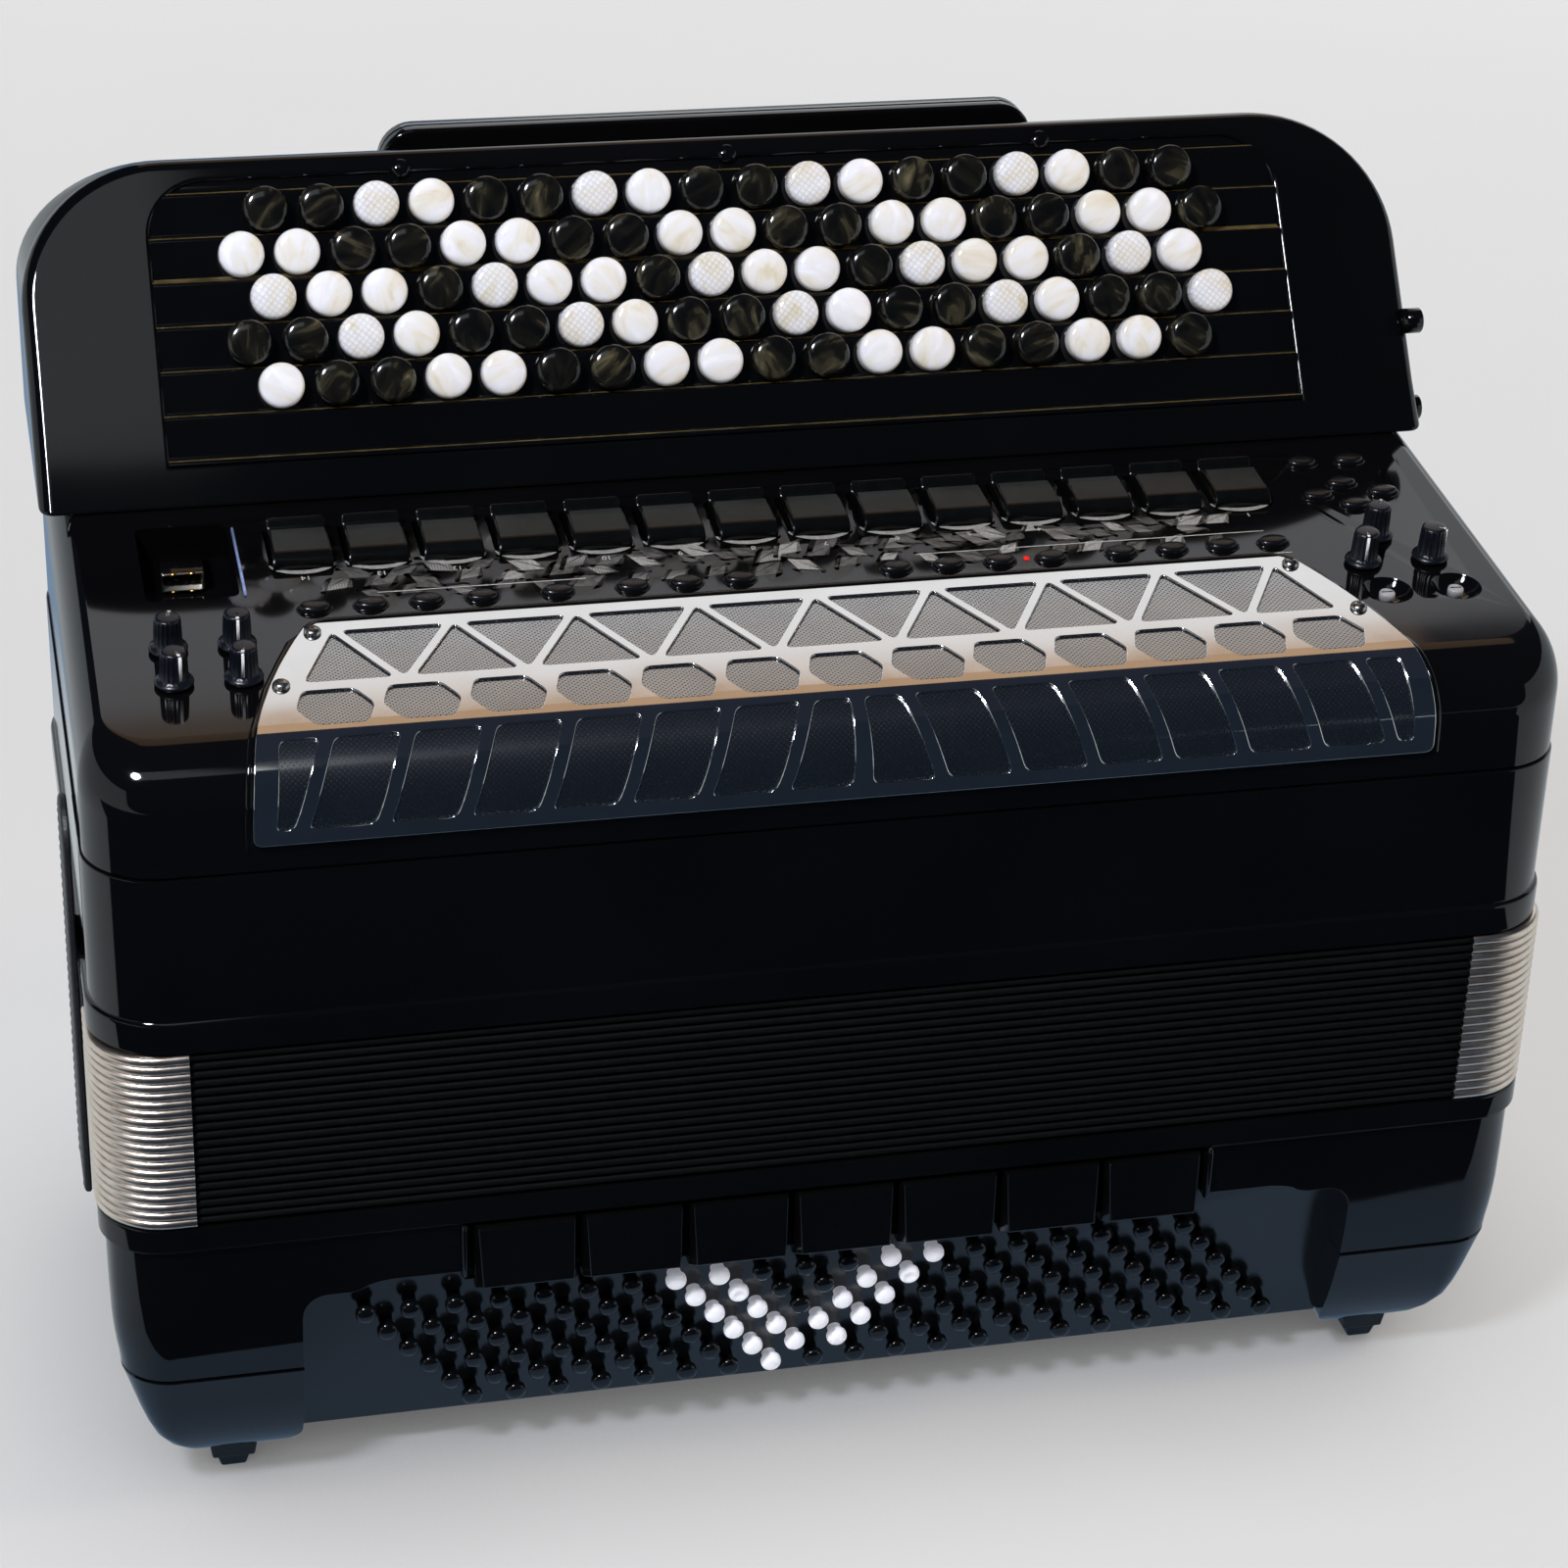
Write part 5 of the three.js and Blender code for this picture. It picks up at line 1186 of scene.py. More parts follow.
# Painted shade: the hole spots are dark grey, and only the steel between them is bright
surface(tree, Base_Color=mixed(tree, metal, hex_colour("#56585D"), steel_colour),
        Metallic=spread(tree, metal, 0.9, 1.0), Roughness=spread(tree, metal, 0.3, 0.16))
SHEET_MARGIN, SHEET_LIFT = 1.5, 0.7
heights = sorted({SHEET_MARGIN, FRONT_RUN, GRILLE_RUN - SHEET_MARGIN} | set(bends))
shares = (-1, -0.5, 0, 0.5, 1)
sheet_places = [(share * (grille_half(s) - SHEET_MARGIN), s) for s in heights for share in shares]
sheet_faces = [(a, a + 1, a + 6, a + 5) for a in (k * 5 + i for k in range(len(heights) - 1) for i in range(4))]
sheet = object_from("perforated_sheet", [on_grille(x, s, SHEET_LIFT) for x, s in sheet_places], sheet_faces, perforated)
layer = sheet.data.uv_layers.new(name="flat")
for loop in sheet.data.loops:
    x, s = sheet_places[loop.vertex_index]
    layer.data[loop.index].uv = x * MM, s * MM
finished(sheet, ("SOLIDIFY", {"thickness": 0.25 * MM, "offset": 0}))
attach(sheet, "treble_side")

# Four domed screws with a hexagon socket. Nickel-plated steel, turned and tumbled, with spots of 1.4 mm
screw_steel = speckled("nickel-plated screw steel", 700.0, 2.0, ("#B5B1AA", "#CBC8C2"), (0.16, 0.34), Metallic=1.0)
screw_profile = [(0, -0.8), (1.6, -0.8), (1.6, 1.5), (2.2, 1.5), (2.75, 1.7), (2.8, 2.1), (2.5, 2.8), (1.9, 3.3),
                 (1.0, 3.6), (0, 3.7)]
screws = []
for side in (-1, 1):
    for x, y in ((160.7, 68.5), (173.8, 39.0)):
        spot = around_spot(on_panel, side * x, y)
        hexagon = turned("socket_cut", [(0, 2.6), (0.85, 2.6), (0.85, 6), (0, 6)], 6, spot)
        screws.append(finished(cut(turned("screw", screw_profile, 32, spot, screw_steel), [hexagon])))
screws = merged("grille_screws", screws)
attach(screws, "treble_side")

# The moulded bead of the casing that the plate lies inside
bead_path = [(-grille_half(s) - 1.5, s) for s in [-1.0] + bends + [GRILLE_RUN - 9.0]]
for k in range(1, 8):
    a = k / 7 * math.pi / 2
    bead_path.append((-grille_half(GRILLE_RUN) - 1.6 + 9.0 * (1 - math.cos(a)), GRILLE_RUN - 7.0 + 9.0 * math.sin(a)))
bead_path += [(x, GRILLE_RUN + 2.0) for x in (-100.0, -50.0, 0.0)]
bead_path += [(-x, s) for x, s in reversed(bead_path[:-1])]
rings = []
for i, (x, s) in enumerate(bead_path):
    x0, s0 = bead_path[max(i - 1, 0)]
    x1, s1 = bead_path[min(i + 1, len(bead_path) - 1)]
    away = Vector((-(s1 - s0), x1 - x0)).normalized()
    full = min(max((s - GRILLE_RUN + 14.0) / 12.0, 0.0), 1.0)
    half, height = 1.1 + 0.9 * full, 0.7 + 1.2 * full
    section = bead_around(0, half, height)
    rings.append([on_grille(x - away.x * u, s - away.y * u, w - 0.1) for u, w in section])
bead = outward(skin("grille_bead", rings, gloss_abs))
finished(bead, split=60)
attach(bead, "treble_side")

# ---------------------------------------------------------------- bellows
# Twenty folds of card under black cloth tape, shut tight, with a nickel clip pressed round each fold at
# each corner. The folds are deep.
BELLOWS_FOOT, BELLOWS_HEAD = 116.7, 179.4
FOLDS = 20
FOLD_PITCH = (BELLOWS_HEAD - BELLOWS_FOOT) / FOLDS
FOLD_DEEP = 9.0
fold_profile = [(0.0, FOLD_DEEP), (0.36, 0.2), (0.5, -0.7), (0.85, -1.15), (1.55, -1.3), (2.3, -1.15), (2.65, -0.7),
                (2.78, 0.2)]
rings = [body_ring(BELLOWS_PLAN, inset, BELLOWS_FOOT + k * FOLD_PITCH + z, 8)
         for k in range(FOLDS) for z, inset in fold_profile]
rings.append(body_ring(BELLOWS_PLAN, FOLD_DEEP, BELLOWS_HEAD, 8))
# Bellows tape: plain-woven cotton of 0.5 mm threads, glued on and drawn at 0.9 mm so that it shows
tape_cloth, tree = new_material("black bellows tape cloth")
coordinates = object_place(tree)
threads = {"Vector": coordinates, "Scale": 1100.0, "Distortion": 1.2, "Detail": 1.0}
weft = put(tree, "ShaderNodeTexWave", threads, bands_direction="X").outputs["Fac"]
woven = maths(tree, "MULTIPLY", weft, noise(tree, coordinates, 260.0, 4.0))
surface(tree, Base_Color=ramp(tree, woven, [(0.1, "#070909"), (0.6, "#0D1110")]), Roughness=0.65,
        Specular_IOR_Level=0.1, Normal=bump(tree, woven, 0.35, 0.0003))
pleats = finished(skin("bellows_pleats", rings, tape_cloth), split=75)
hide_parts("bellows")
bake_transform(pleats)

clip_profile = [(-1.3, 1.2), (-1.42, -0.9), (-1.2, -1.75), (-0.65, -2.2), (0.0, -2.3), (0.65, -2.2), (1.2, -1.75),
                (1.42, -0.9), (1.3, 1.2)]
CLIP_X, CLIP_Y = 209.6, 34.0
clips = []
lines = [body_ring(BELLOWS_PLAN, inset, z, 10) for z, inset in clip_profile]
for corner in range(4):
    first = corner * 11
    clip_rings = []
    for line in lines:
        arc = [Vector(p) for p in line[first:first + 11]]
        before, after = arc[0].copy(), arc[-1].copy()
        for end, other in ((before, after), (after, before)):
            if abs(end.x - MIDDLE_X) > abs(other.x - MIDDLE_X):
                end.y = FRONT_Y + (CLIP_Y if corner in (0, 1) else BODY_DEPTH - CLIP_Y) * MM
            else:
                end.x = MIDDLE_X + math.copysign(CLIP_X, end.x - MIDDLE_X) * MM
        clip_rings.append([before] + arc + [after])
    clips.append(skin("clip", list(zip(*clip_rings)), None, closed=False))
clip_set = merged("clip_set", clips)
clip_set.data.shade_smooth()
# Nickel-plated brass, stamped, with scuffs of 5 mm from handling
nickel = speckled("nickel-plated brass", 180.0, 4.0, ("#ECDAC8", "#FDEFE0"), (0.24, 0.36), relief=(0.12, 0.0004),
                  Metallic=1.0)
fold_middles = [(0, 0, (BELLOWS_FOOT + (k + 0.5) * FOLD_PITCH) * MM) for k in range(FOLDS)]
corner_clips = row_of("corner_clips", clip_set, fold_middles, nickel, {})
bpy.data.objects.remove(clip_set)
finished(corner_clips, ("SOLIDIFY", {"thickness": 0.3 * MM}), split=70)
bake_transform(corner_clips)

# ---------------------------------------------------------------- bass end
# Two mouldings of the same polished ABS, joined at a seam: the casing with the rim of the bellows, and the
# end cover with its rounded foot. The front is cut back to a leaning plate that carries the bass buttons.
COVER_FLOOR, SEAM, BASS_TOP = 8.3, 54.7, 116.4
BASS_RIM = 107.0
NOTCH_HALF, NOTCH_SIDE_TOP, NOTCH_ROUND = 177.24, 76.1, 8
CUT_FRONT = -20
UNDERCUT = 50.0
PLATE_TOP, PLATE_SETBACK, PLATE_LOW = 73.2, 8.7, 15.5
# How far the notch's side walls flare out towards the foot, and at what height
FLARE = ((0.0, 22.5), (0.4, 20.0), (1.7, 17.4), (4.2, 15.1))
FLARE_BELOW = ((16.0, -20.0), (16.0, 8.2), (13.0, 12.0), (9.0, 13.6), (4.2, 15.2))
PLATE_TILT = math.radians(16.7)


def plate_y(z):
    """How far behind the front the button plate lies at a height, in millimetres."""
    return PLATE_SETBACK + (PLATE_TOP - z) * math.tan(PLATE_TILT)


def both_sides(half):
    """An outline from its right half."""
    return half + [(-x, z) for x, z in reversed(half)]


def notch_cutters():
    """The space in front of the button plate and under it; its top line steps up to the register tabs."""
    half = [(NOTCH_HALF + x, z) for x, z in reversed(FLARE)] + [(NOTCH_HALF, NOTCH_SIDE_TOP)]
    for k in range(1, 7):
        a = k / 6 * math.pi / 2
        half.append((NOTCH_HALF - NOTCH_ROUND * (1 - math.cos(a)), NOTCH_SIDE_TOP + NOTCH_ROUND * math.sin(a)))
    half += [(161.4, 84.1), (158.5, 84.8), (156.0, 86.3), (152.0, 87.3), (148.0, 87.7), (123.0, 87.7), (122.6, 81.3)]
    outline = both_sides(half)
    face = [[at(x, CUT_FRONT, z) for x, z in outline], [at(x, plate_y(z) + 0.4, z) for x, z in outline]]
    outline = both_sides([(NOTCH_HALF + x, z) for x, z in FLARE_BELOW])
    under = [[at(x, y, z) for x, z in outline] for y in (CUT_FRONT, UNDERCUT)]
    return [skin("notch_cut", face, None), skin("notch_cut", under, None)]


def hollow_cutter(*levels):
    """The hollow inside the bass end: each level has its height, its inset from the sides and from the front."""
    rings = [body_ring(BASS_PLAN, (front, inset, inset), z, 3) for z, inset, front in levels]
    return skin("hollow_cut", rings, None)


# The cover draws in towards the floor: its share of the height, and its share of how deep the rounding goes
cover_shares = ((1.0, 0.0), (0.9, 0.045), (0.78, 0.1), (0.64, 0.165), (0.5, 0.24), (0.37, 0.33), (0.24, 0.45),
                (0.155, 0.56), (0.09, 0.68), (0.045, 0.79), (0.015, 0.9), (0.0, 1.0))
COVER_INSET, FOOT_ROUND = 2.4, 30.0
WALL, PLATE_WALL = 8.5, 1.5
rings = [body_ring(BASS_PLAN, COVER_INSET + inset * FOOT_ROUND, COVER_FLOOR + share * (SEAM - COVER_FLOOR))
         for share, inset in reversed(cover_shares)]
rings[-1] = body_ring(BASS_PLAN, 2.45, SEAM - 0.5)
rings.append(body_ring(BASS_PLAN, 2.9, SEAM))
hollows = [hollow_cutter((13.0, 29.0, UNDERCUT + 4), (26.0, 17.0, UNDERCUT + 4)),
           hollow_cutter((22.5, 19.0, plate_y(22.5) + PLATE_WALL), (34.0, 13.5, plate_y(34.0) + PLATE_WALL),
                         (SEAM + 5, WALL, plate_y(SEAM + 5) + PLATE_WALL))]
cover = cut(skin("bass_end_shell", rings, gloss_abs), hollows + notch_cutters())
finished(cover, bevel(0.9, 3, 55))
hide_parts("bass_end_cover")
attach(cover, "bass_side")

wall_profile = [(SEAM + 0.3, 3.0), (SEAM + 0.9, 2.4), (60.0, 1.95), (64.0, 1.35), (69.0, 0.8), (76.0, 0.35),
                (90.0, 0.1), (BASS_RIM - 0.8, 0.0), (BASS_RIM - 0.2, -0.5), (BASS_RIM + 0.3, -1.5),
                (BASS_RIM + 1.0, -2.0), (BASS_TOP - 1.3, -2.0), (BASS_TOP - 0.4, -1.6), (BASS_TOP, -0.8)]
rings = [body_ring(BASS_PLAN, i, z) for z, i in wall_profile]
TAB_COUNT, TAB_PITCH, TAB_LOW, TAB_HIGH, TAB_PROUD = 7, 35.1, 81.0, 106.5, 3.0
tab_span = TAB_COUNT * TAB_PITCH / 2
pocket = block("pocket_cut", (-tab_span - 0.8, -10, TAB_LOW - 0.4), (tab_span + 0.8, 8.0, TAB_HIGH + 0.3), at)
hollow = hollow_cutter((SEAM - 5, WALL, plate_y(SEAM - 5) + PLATE_WALL), (72.0, WALL, 10.6), (BASS_TOP - 3, 8.0, 10.6))
casing = cut(skin("bass_shell", rings, gloss_abs), [hollow, pocket] + notch_cutters())
finished(casing, bevel(0.9, 3, 55))
RIB_SINK = 0.6
rib_profile = ((85.8, 0.3, 0.2), (86.7, 1.1, 1.6), (88.3, 1.35, 2.4), (104.5, 1.35, 2.4), (106.2, 1.1, 1.6),
               (107.0, 0.3, 0.2))
ribs = []
for side in (-1, 1):
    rings = [[at(x, RIB_SINK - y, z) for x, y in bead_around(side * (tab_span + 2.4), half, proud + RIB_SINK)]
             for z, half, proud in rib_profile]
    ribs.append(outward(skin("rib", rings, gloss_abs)))
casing = merged("bass_shell", [casing] + ribs)
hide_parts("bass_casing")
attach(casing, "bass_side")

# The button plate: a leaning panel of ABS, moulded with a fine texture of 0.7 mm, less polished than the casing
plate_abs = speckled("fine-textured black ABS", 1400.0, 2.0, ("#0A0B0D", "#0E1013"), 0.16, relief=(0.08, 0.0002))
rings = []
for out, trim in ((3.2, 0.0), (0.5, 0.0), (0.12, 0.15), (0.0, 0.6)):
    half, low, high = NOTCH_HALF + 4.6 - trim, PLATE_LOW + trim, 88.8 - trim
    corners = ((-half, low), (half, low), (half, high), (124.3, high), (124.3, 80.2), (-124.3, 80.2),
               (-124.3, high), (-half, high))
    rings.append([at(x, plate_y(z) + out, z) for x, z in corners])
plate = outward(finished(skin("bass_plate", list(reversed(rings)), plate_abs)))
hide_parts("bass_button_plate")
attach(plate, "bass_side")

# ---------------------------------------------------------------- bass buttons
# Six slanting rows of twenty domed studs on thin stems, black, with a group of white ones in the middle.
# Two of the white studs have a dimple that the fingers find.
BASS_ROWS, BASS_COLUMNS, BASS_PITCH, BASS_STEP = 6, 20, 14.59, 9.91
BASS_REACH = 6.6
BASS_TILT = math.radians(8)
STUD_OUT = Vector((0, -math.cos(BASS_TILT), -math.sin(BASS_TILT)))
STUD_UP = Vector((0, -math.sin(BASS_TILT), math.cos(BASS_TILT)))
# Cast acrylic, cloudy over 2.4 mm: polished where it is black, worn dull where it is white; the white studs glow
# faintly as painted light
stud_plastic, tree = new_material("cast acrylic stud")
tone = put(tree, "ShaderNodeAttribute", attribute_name="tone").outputs["Fac"]
cloudy = noise(tree, object_place(tree), 420.0, 3.0)
white = ramp(tree, cloudy, [(0.3, "#F4F5FA"), (0.7, "#FFFFFF")])
black = ramp(tree, cloudy, [(0.3, "#08090A"), (0.7, "#0D0E10")])
# Painted light: the white studs glow with a faint bluish white
surface(tree, Base_Color=mixed(tree, tone, black, white), Roughness=spread(tree, tone, 0.12, 0.45),
        Specular_IOR_Level=spread(tree, tone, 0.5, 0.2), Emission_Color=hex_colour("#F0F4FF"),
        Emission_Strength=maths(tree, "MULTIPLY", tone, 0.22))
stud_profile = [(0, -4), (2.3, -4), (2.3, 3.0), (3.1, 3.15), (3.42, 3.6), (3.45, 4.7), (3.28, 5.45), (2.8, 6.0),
                (1.95, 6.38), (1.0, 6.56), (0, BASS_REACH)]
dimple_profile = stud_profile[:8] + [(2.2, 6.2), (1.7, 6.1), (1.0, 5.7), (0, 5.5)]
stud, dimpled = (turned(name, profile, 24, leaning(STUD_UP, STUD_OUT))
                 for name, profile in (("stud", stud_profile), ("dimpled_stud", dimple_profile)))
WHITE_STUDS = ({7, 8, 12, 13}, {7, 8, 11, 12}, {7, 8, 10, 11}, {7, 8, 9, 10}, {7, 8, 9}, {7})
DIMPLED = ((1, 8), (1, 12))


def stud_seat(row, column):
    """Where a stud's axis leaves the plate."""
    x = (column - (BASS_COLUMNS - 1) / 2) * BASS_PITCH + (row - (BASS_ROWS - 1) / 2) * BASS_PITCH / 2
    along = row * BASS_STEP
    return at(x, PLATE_SETBACK + along * math.sin(PLATE_TILT), PLATE_TOP - along * math.cos(PLATE_TILT))


for row in range(BASS_ROWS):
    name = "bass_buttons_%d" % (row + 1)
    parts = []
    for kind, columns in ((stud, [c for c in range(BASS_COLUMNS) if (row, c) not in DIMPLED]),
                          (dimpled, [c for r, c in DIMPLED if r == row])):
        if columns:
            parts.append(row_of("studs", kind, [stud_seat(row, c) for c in columns], stud_plastic,
                                {"tone": [c in WHITE_STUDS[row] for c in columns]}))
    start, end = stud_seat(row, 0), stud_seat(row, BASS_COLUMNS - 1)
    parts.append(block("rail", (-3 * MM, -1.2 * MM, -8 * MM), (end.x - start.x + 3 * MM, 1.2 * MM, -3.6 * MM),
                       lambda u, v, w, start=start: start + Vector((u, 0, 0)) + STUD_UP * v + STUD_OUT * w, plate_abs))
    studs = merged(name, parts)
    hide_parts("bass_row_%d" % (row + 1))
    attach(studs, "bass_row_%d" % (row + 1))
bpy.data.objects.remove(stud)
bpy.data.objects.remove(dimpled)

# Register tabs: seven broad keys of polished ABS above the studs, their left edges cut slanting
tab_profile = ((5.0, 0, 0, 0, 0), (0.2, 0, 0, 0, 0.2), (-TAB_PROUD, 2.6, 0.9, 1.5, 1.3))
for i in range(TAB_COUNT):
    x0, x1 = -tab_span + i * TAB_PITCH + 1.0, -tab_span + (i + 1) * TAB_PITCH - 1.0
    rings = []
    for y, a, b, c, d in tab_profile:
        corners = ((x0 + a, TAB_LOW + c), (x1 - b, TAB_LOW + c), (x1 - b, TAB_HIGH - d), (x0 + a * 0.4, TAB_HIGH - d))
        rings.append([at(x, y, z) for x, z in corners])
    tab = outward(skin("bass_tab_%d" % (i + 1), rings, gloss_abs))
    finished(tab, bevel(0.45, 3, 25), split=24)
    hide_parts("bass_register_%d" % (i + 1))
    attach(tab, "bass_register_%d" % (i + 1))

# ---------------------------------------------------------------- feet
# Moulded rubber runners under both ends of the bass cover, each with a foot at its front and its rear.
# Moulded rubber with a matt skin, its grain 1.1 mm
foot_rubber = speckled("moulded black rubber", 900.0, 4.0, ("#171717", "#232222"), 0.6, relief=(0.3, 0.0003))
for node in ("feet_left", "feet_right"):
    low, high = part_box(node)
    middle = ((low.x + high.x) / 2 - MIDDLE_X) / MM
    y0, y1 = (low.y - FRONT_Y) / MM, (high.y - FRONT_Y) / MM
    parts = []
    for half, start, end, floor_z, top_z, draw in (
            (8.0, y0, y1, 5.0, 12.0, 1.0),
            (5.5, y0 + 2, y0 + 18, 0.0, 5.2, 1.4),
            (5.5, y1 - 18, y1 - 2, 0.0, 5.2, 1.4)):
        rings = []
        for z, d in ((floor_z, draw), (top_z, 0.0)):
            corners = ((-half + d, start + d), (half - d, start + d), (half - d, end - d), (-half + d, end - d))
            rings.append([at(middle + x, y, z) for x, y in corners])
        parts.append(finished(skin("foot", rings, foot_rubber), bevel(0.7, 2, 40, harden_normals=False)))
    feet = merged("rubber_" + node, parts)
    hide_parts(node)
    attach(feet, "bass_side")

# ---------------------------------------------------------------- bellows strap
# A short black leather strap that keeps the bellows shut, sewn along both edges, riveted to the bass casing
# and held by a snap fastener on the treble casing.
strap_low, strap_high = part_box("bellows_strap")
# Full-grain leather, dyed and pressed, with pores 1.1 mm apart and creases of 17 mm
leather, tree = new_material("black strap leather")
coordinates = object_place(tree)
pores = put(tree, "ShaderNodeTexVoronoi", {"Vector": coordinates, "Scale": 900.0}).outputs["Distance"]
hide = maths(tree, "ADD", pores, noise(tree, coordinates, 60.0, 5.0))
surface(tree, Base_Color=ramp(tree, hide, [(0.4, "#121213"), (1.0, "#222224")]), Roughness=0.45,
        Normal=bump(tree, hide, 0.35, 0.0004))
# Waxed sewing thread, twisted, 0.7 mm thick, with a mottle of 0.4 mm
thread = speckled("waxed sewing thread", 2500.0, 2.0, ("#4A4A4C", "#6A6A6C"), 0.6)

stitched, source = new_group("stitched seam", (("Path", "Geometry"), ("Stitch", "Object"), ("Spacing", "Float"),
                                               ("Finish", "Material")), "Seam")
line = put(stitched, "GeometryNodeMeshToCurve", {"Mesh": source["Path"]}).outputs["Curve"]
steps = put(stitched, "GeometryNodeResampleCurve", {"Curve": line, "Length": source["Spacing"]}, mode="LENGTH")
tangent = put(stitched, "GeometryNodeInputTangent").outputs["Tangent"]
turn = put(stitched, "FunctionNodeAlignEulerToVector", {"Vector": tangent}, axis="Z").outputs["Rotation"]
copies_at(stitched, source, steps.outputs["Curve"], "Stitch", "Seam", Rotation=turn)


STRAP_FACE = strap_low.x + 0.25 * MM
STRAP_HALF = (strap_high.y - strap_low.y) / 2
STRAP_MIDDLE = (strap_high.y + strap_low.y) / 2


def strap_outline(inset, steps=20):
    """The strap's outline seen from its face: square at the foot and round at the top."""
    half = STRAP_HALF - inset
    points = [(-half, strap_low.z + inset), (half, strap_low.z + inset)]
    for k in range(steps + 1):
        a = k / steps * math.pi
        points.append((half * math.cos(a), strap_high.z - STRAP_HALF + half * math.sin(a)))
    return points


strap_profile = ((strap_high.x, 0.6), (strap_high.x - 0.5 * MM, 0.0), (STRAP_FACE + 0.9 * MM, 0.0),
                 (STRAP_FACE + 0.35 * MM, 0.4), (STRAP_FACE + 0.05 * MM, 1.1), (STRAP_FACE + 0.3 * MM, 2.2),
                 (STRAP_FACE + 0.1 * MM, 3.4), (STRAP_FACE, 6.0))
rings = [[Vector((x, STRAP_MIDDLE + y, z)) for y, z in strap_outline(inset * MM)] for x, inset in strap_profile]
strap = outward(skin("strap_leather", rings, leather))
finished(strap, split=50)
SEAM_INSET, STITCH_STEP = 2.2, 3.4
seam_line = strap_outline(SEAM_INSET * MM)
seam_points = [(STRAP_FACE + 0.2 * MM, STRAP_MIDDLE + y, z) for y, z in seam_line[1:] + seam_line[:1]]
seam_mesh = bpy.data.meshes.new("seam")
seam_mesh.from_pydata(seam_points, [(i, i + 1) for i in range(len(seam_points) - 1)], [])
stitch_profile = [(0, -1.25), (0.22, -1.15), (0.34, -0.7), (0.36, 0.0), (0.34, 0.7), (0.22, 1.15), (0, 1.25)]
stitch = turned("stitch", stitch_profile, 6, lambda u, v, w: Vector((u, v, w)) * MM)
seam = grown(linked("seam", seam_mesh), stitched, Stitch=stitch, Spacing=STITCH_STEP * MM, Finish=thread)
bpy.data.objects.remove(stitch)


def on_strap(y, z, u, v, w):
    """A place on the strap: w millimetres over its face, around a place of its middle line."""
    return Vector((STRAP_FACE - (w - 1.0) * MM, STRAP_MIDDLE + (u + y) * MM, z + v * MM))


snap_profile = [(0, -1.0), (5.2, -1.0), (5.2, 0.1), (4.8, 0.5), (3.8, 0.8), (2.0, 0.95), (0, 1.0)]
rivet_profile = [(0, -1.0), (3.0, -1.0), (2.9, 0.3), (2.2, 0.75), (1.1, 0.95), (0, 1.0)]
studs = [turned("snap", snap_profile, 32, around_spot(on_strap, 0, strap_high.z - STRAP_HALF), nickel)]
for y in (-6.5, 6.5):
    studs.append(turned("rivet", rivet_profile, 24, around_spot(on_strap, y, strap_low.z + 8 * MM), nickel))
strap = merged("strap_leather", [strap, seam] + studs)
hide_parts("bellows_strap")
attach(strap, "bass_side")

# ---------------------------------------------------------------- back cover
# A shallow box of the same black ABS, screwed to the back of the treble end, with a groove round its edge
# and a row of cooling slots.
cover_low, cover_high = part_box("treble_back_cover")
cover_mid_x, cover_mid_z = (cover_low.x + cover_high.x) / 2, (cover_low.z + cover_high.z) / 2
cover_half_x, cover_half_z = (cover_high.x - cover_low.x) / 2 / MM, (cover_high.z - cover_low.z) / 2 / MM
cover_deep = (cover_high.y - cover_low.y) / MM
COVER_CORNER, SLOT_COUNT, SLOT_PITCH = 12.0, 7, 7.0
SCREW_HEAD = 1.05
cover_profile = ((0.0, 1.2), (0.06, 0.3), (0.12, 0.0), (0.36, 0.0), (0.39, 0.6), (0.45, 0.6), (0.48, 0.0), (0.8, 0.0),
                 (0.9, 0.45), (0.97, 1.5), (1.0, 3.0))


def behind_cover(x, z, u, v, w):
    """A place on the back cover: across, up and out of its rear face, around one place of it."""
    return Vector((cover_mid_x + (x + u) * MM, cover_high.y + w * MM, cover_mid_z + (z + v) * MM))


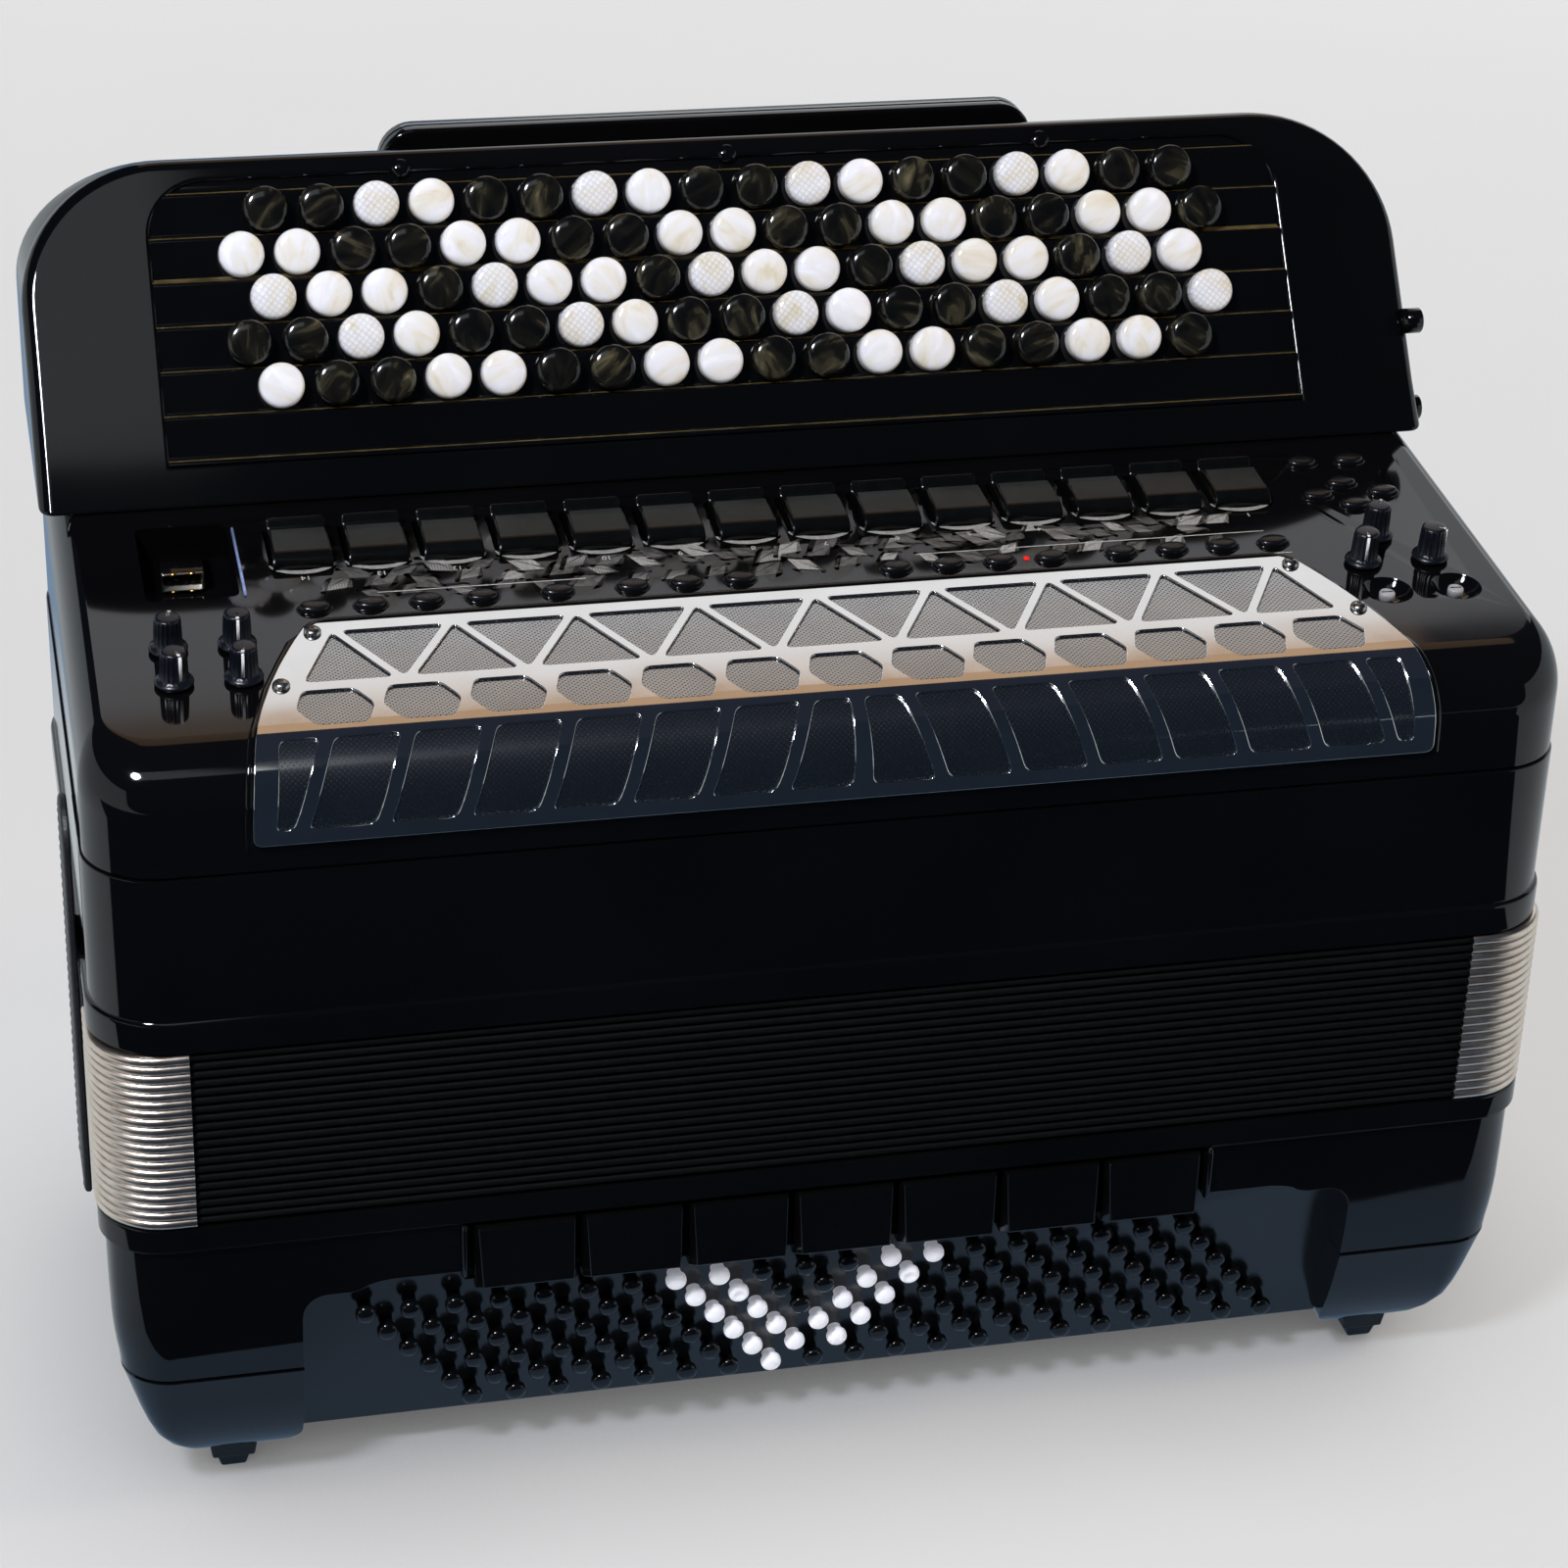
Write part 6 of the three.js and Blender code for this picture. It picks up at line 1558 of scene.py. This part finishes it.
rings = []
for share_y, inset in cover_profile:
    outline = rounded_outline(cover_half_x - inset, cover_half_z - inset, COVER_CORNER - inset, 8)
    y = cover_low.y + share_y * cover_deep * MM
    rings.append([Vector((cover_mid_x + x * MM, y, cover_mid_z + z * MM)) for x, z in outline])
back = outward(skin("rear_cover", rings, gloss_abs))
slots = []
for k in range(SLOT_COUNT):
    z = (k - (SLOT_COUNT - 1) // 2) * SLOT_PITCH
    outline = rounded_outline(46, 1.4, 1.35, 4)
    slots.append(skin("slot_cut", [[behind_cover(0, z, u, v, w) for u, v in outline] for w in (-5, 4)], None))
finished(cut(back, slots), split=40)
head_profile = [(0, -2), (3.3, -2), (3.3, 0.2), (2.9, 0.7), (1.9, 1.0), (0, SCREW_HEAD)]
head_profile = [(radius, height - SCREW_HEAD) for radius, height in head_profile]
cover_screws = [turned("screw", head_profile, 24, around_spot(behind_cover, x, z), screw_steel)
                for x in (-103, -34, 34, 103) for z in (-46, 46) if abs(x) > 50 or z > 0]
back = merged("rear_cover", [back] + cover_screws)
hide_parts("treble_back_cover")
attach(back, "treble_side")

# ---------------------------------------------------------------- inside the body
# What the casings hide: the battery pack in its plastic shell, the green circuit board and the plate that
# carries the two loudspeakers.
# Grey polycarbonate, moulded with a fine grain of 0.8 mm
battery_shell = speckled("moulded grey polycarbonate", 1200.0, 2.0, ("#4A4C50", "#56585C"), 0.5, relief=(0.15, 0.0002))
# Green solder mask on glass fibre, printed over copper tracks 2.5 mm apart
solder_mask, tree = new_material("green solder mask on glass fibre")
coordinates = object_place(tree)
rows = {"Vector": coordinates, "Scale": 1.0, "Mortar Size": 0.0006, "Brick Width": 0.011, "Row Height": 0.0025}
tracks = put(tree, "ShaderNodeTexBrick", rows).outputs["Fac"]
board_green = ramp(tree, noise(tree, coordinates, 300.0, 3.0), [(0.3, "#174A31"), (0.7, "#1F6040")])
surface(tree, Base_Color=mixed(tree, tracks, board_green, hex_colour("#2E7A55")), Roughness=0.35)
# Black paint sprayed on pressed steel, with an orange peel of 2 mm
speaker_paint = speckled("black paint on pressed steel", 500.0, 2.0, ("#141516", "#1C1D1F"), 0.45, relief=(0.1, 0.0002))
for node, material in (("battery_pack", battery_shell), ("main_circuit_board", solder_mask),
                       ("speaker_plate", speaker_paint)):
    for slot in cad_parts[node].material_slots:
        slot.material = material
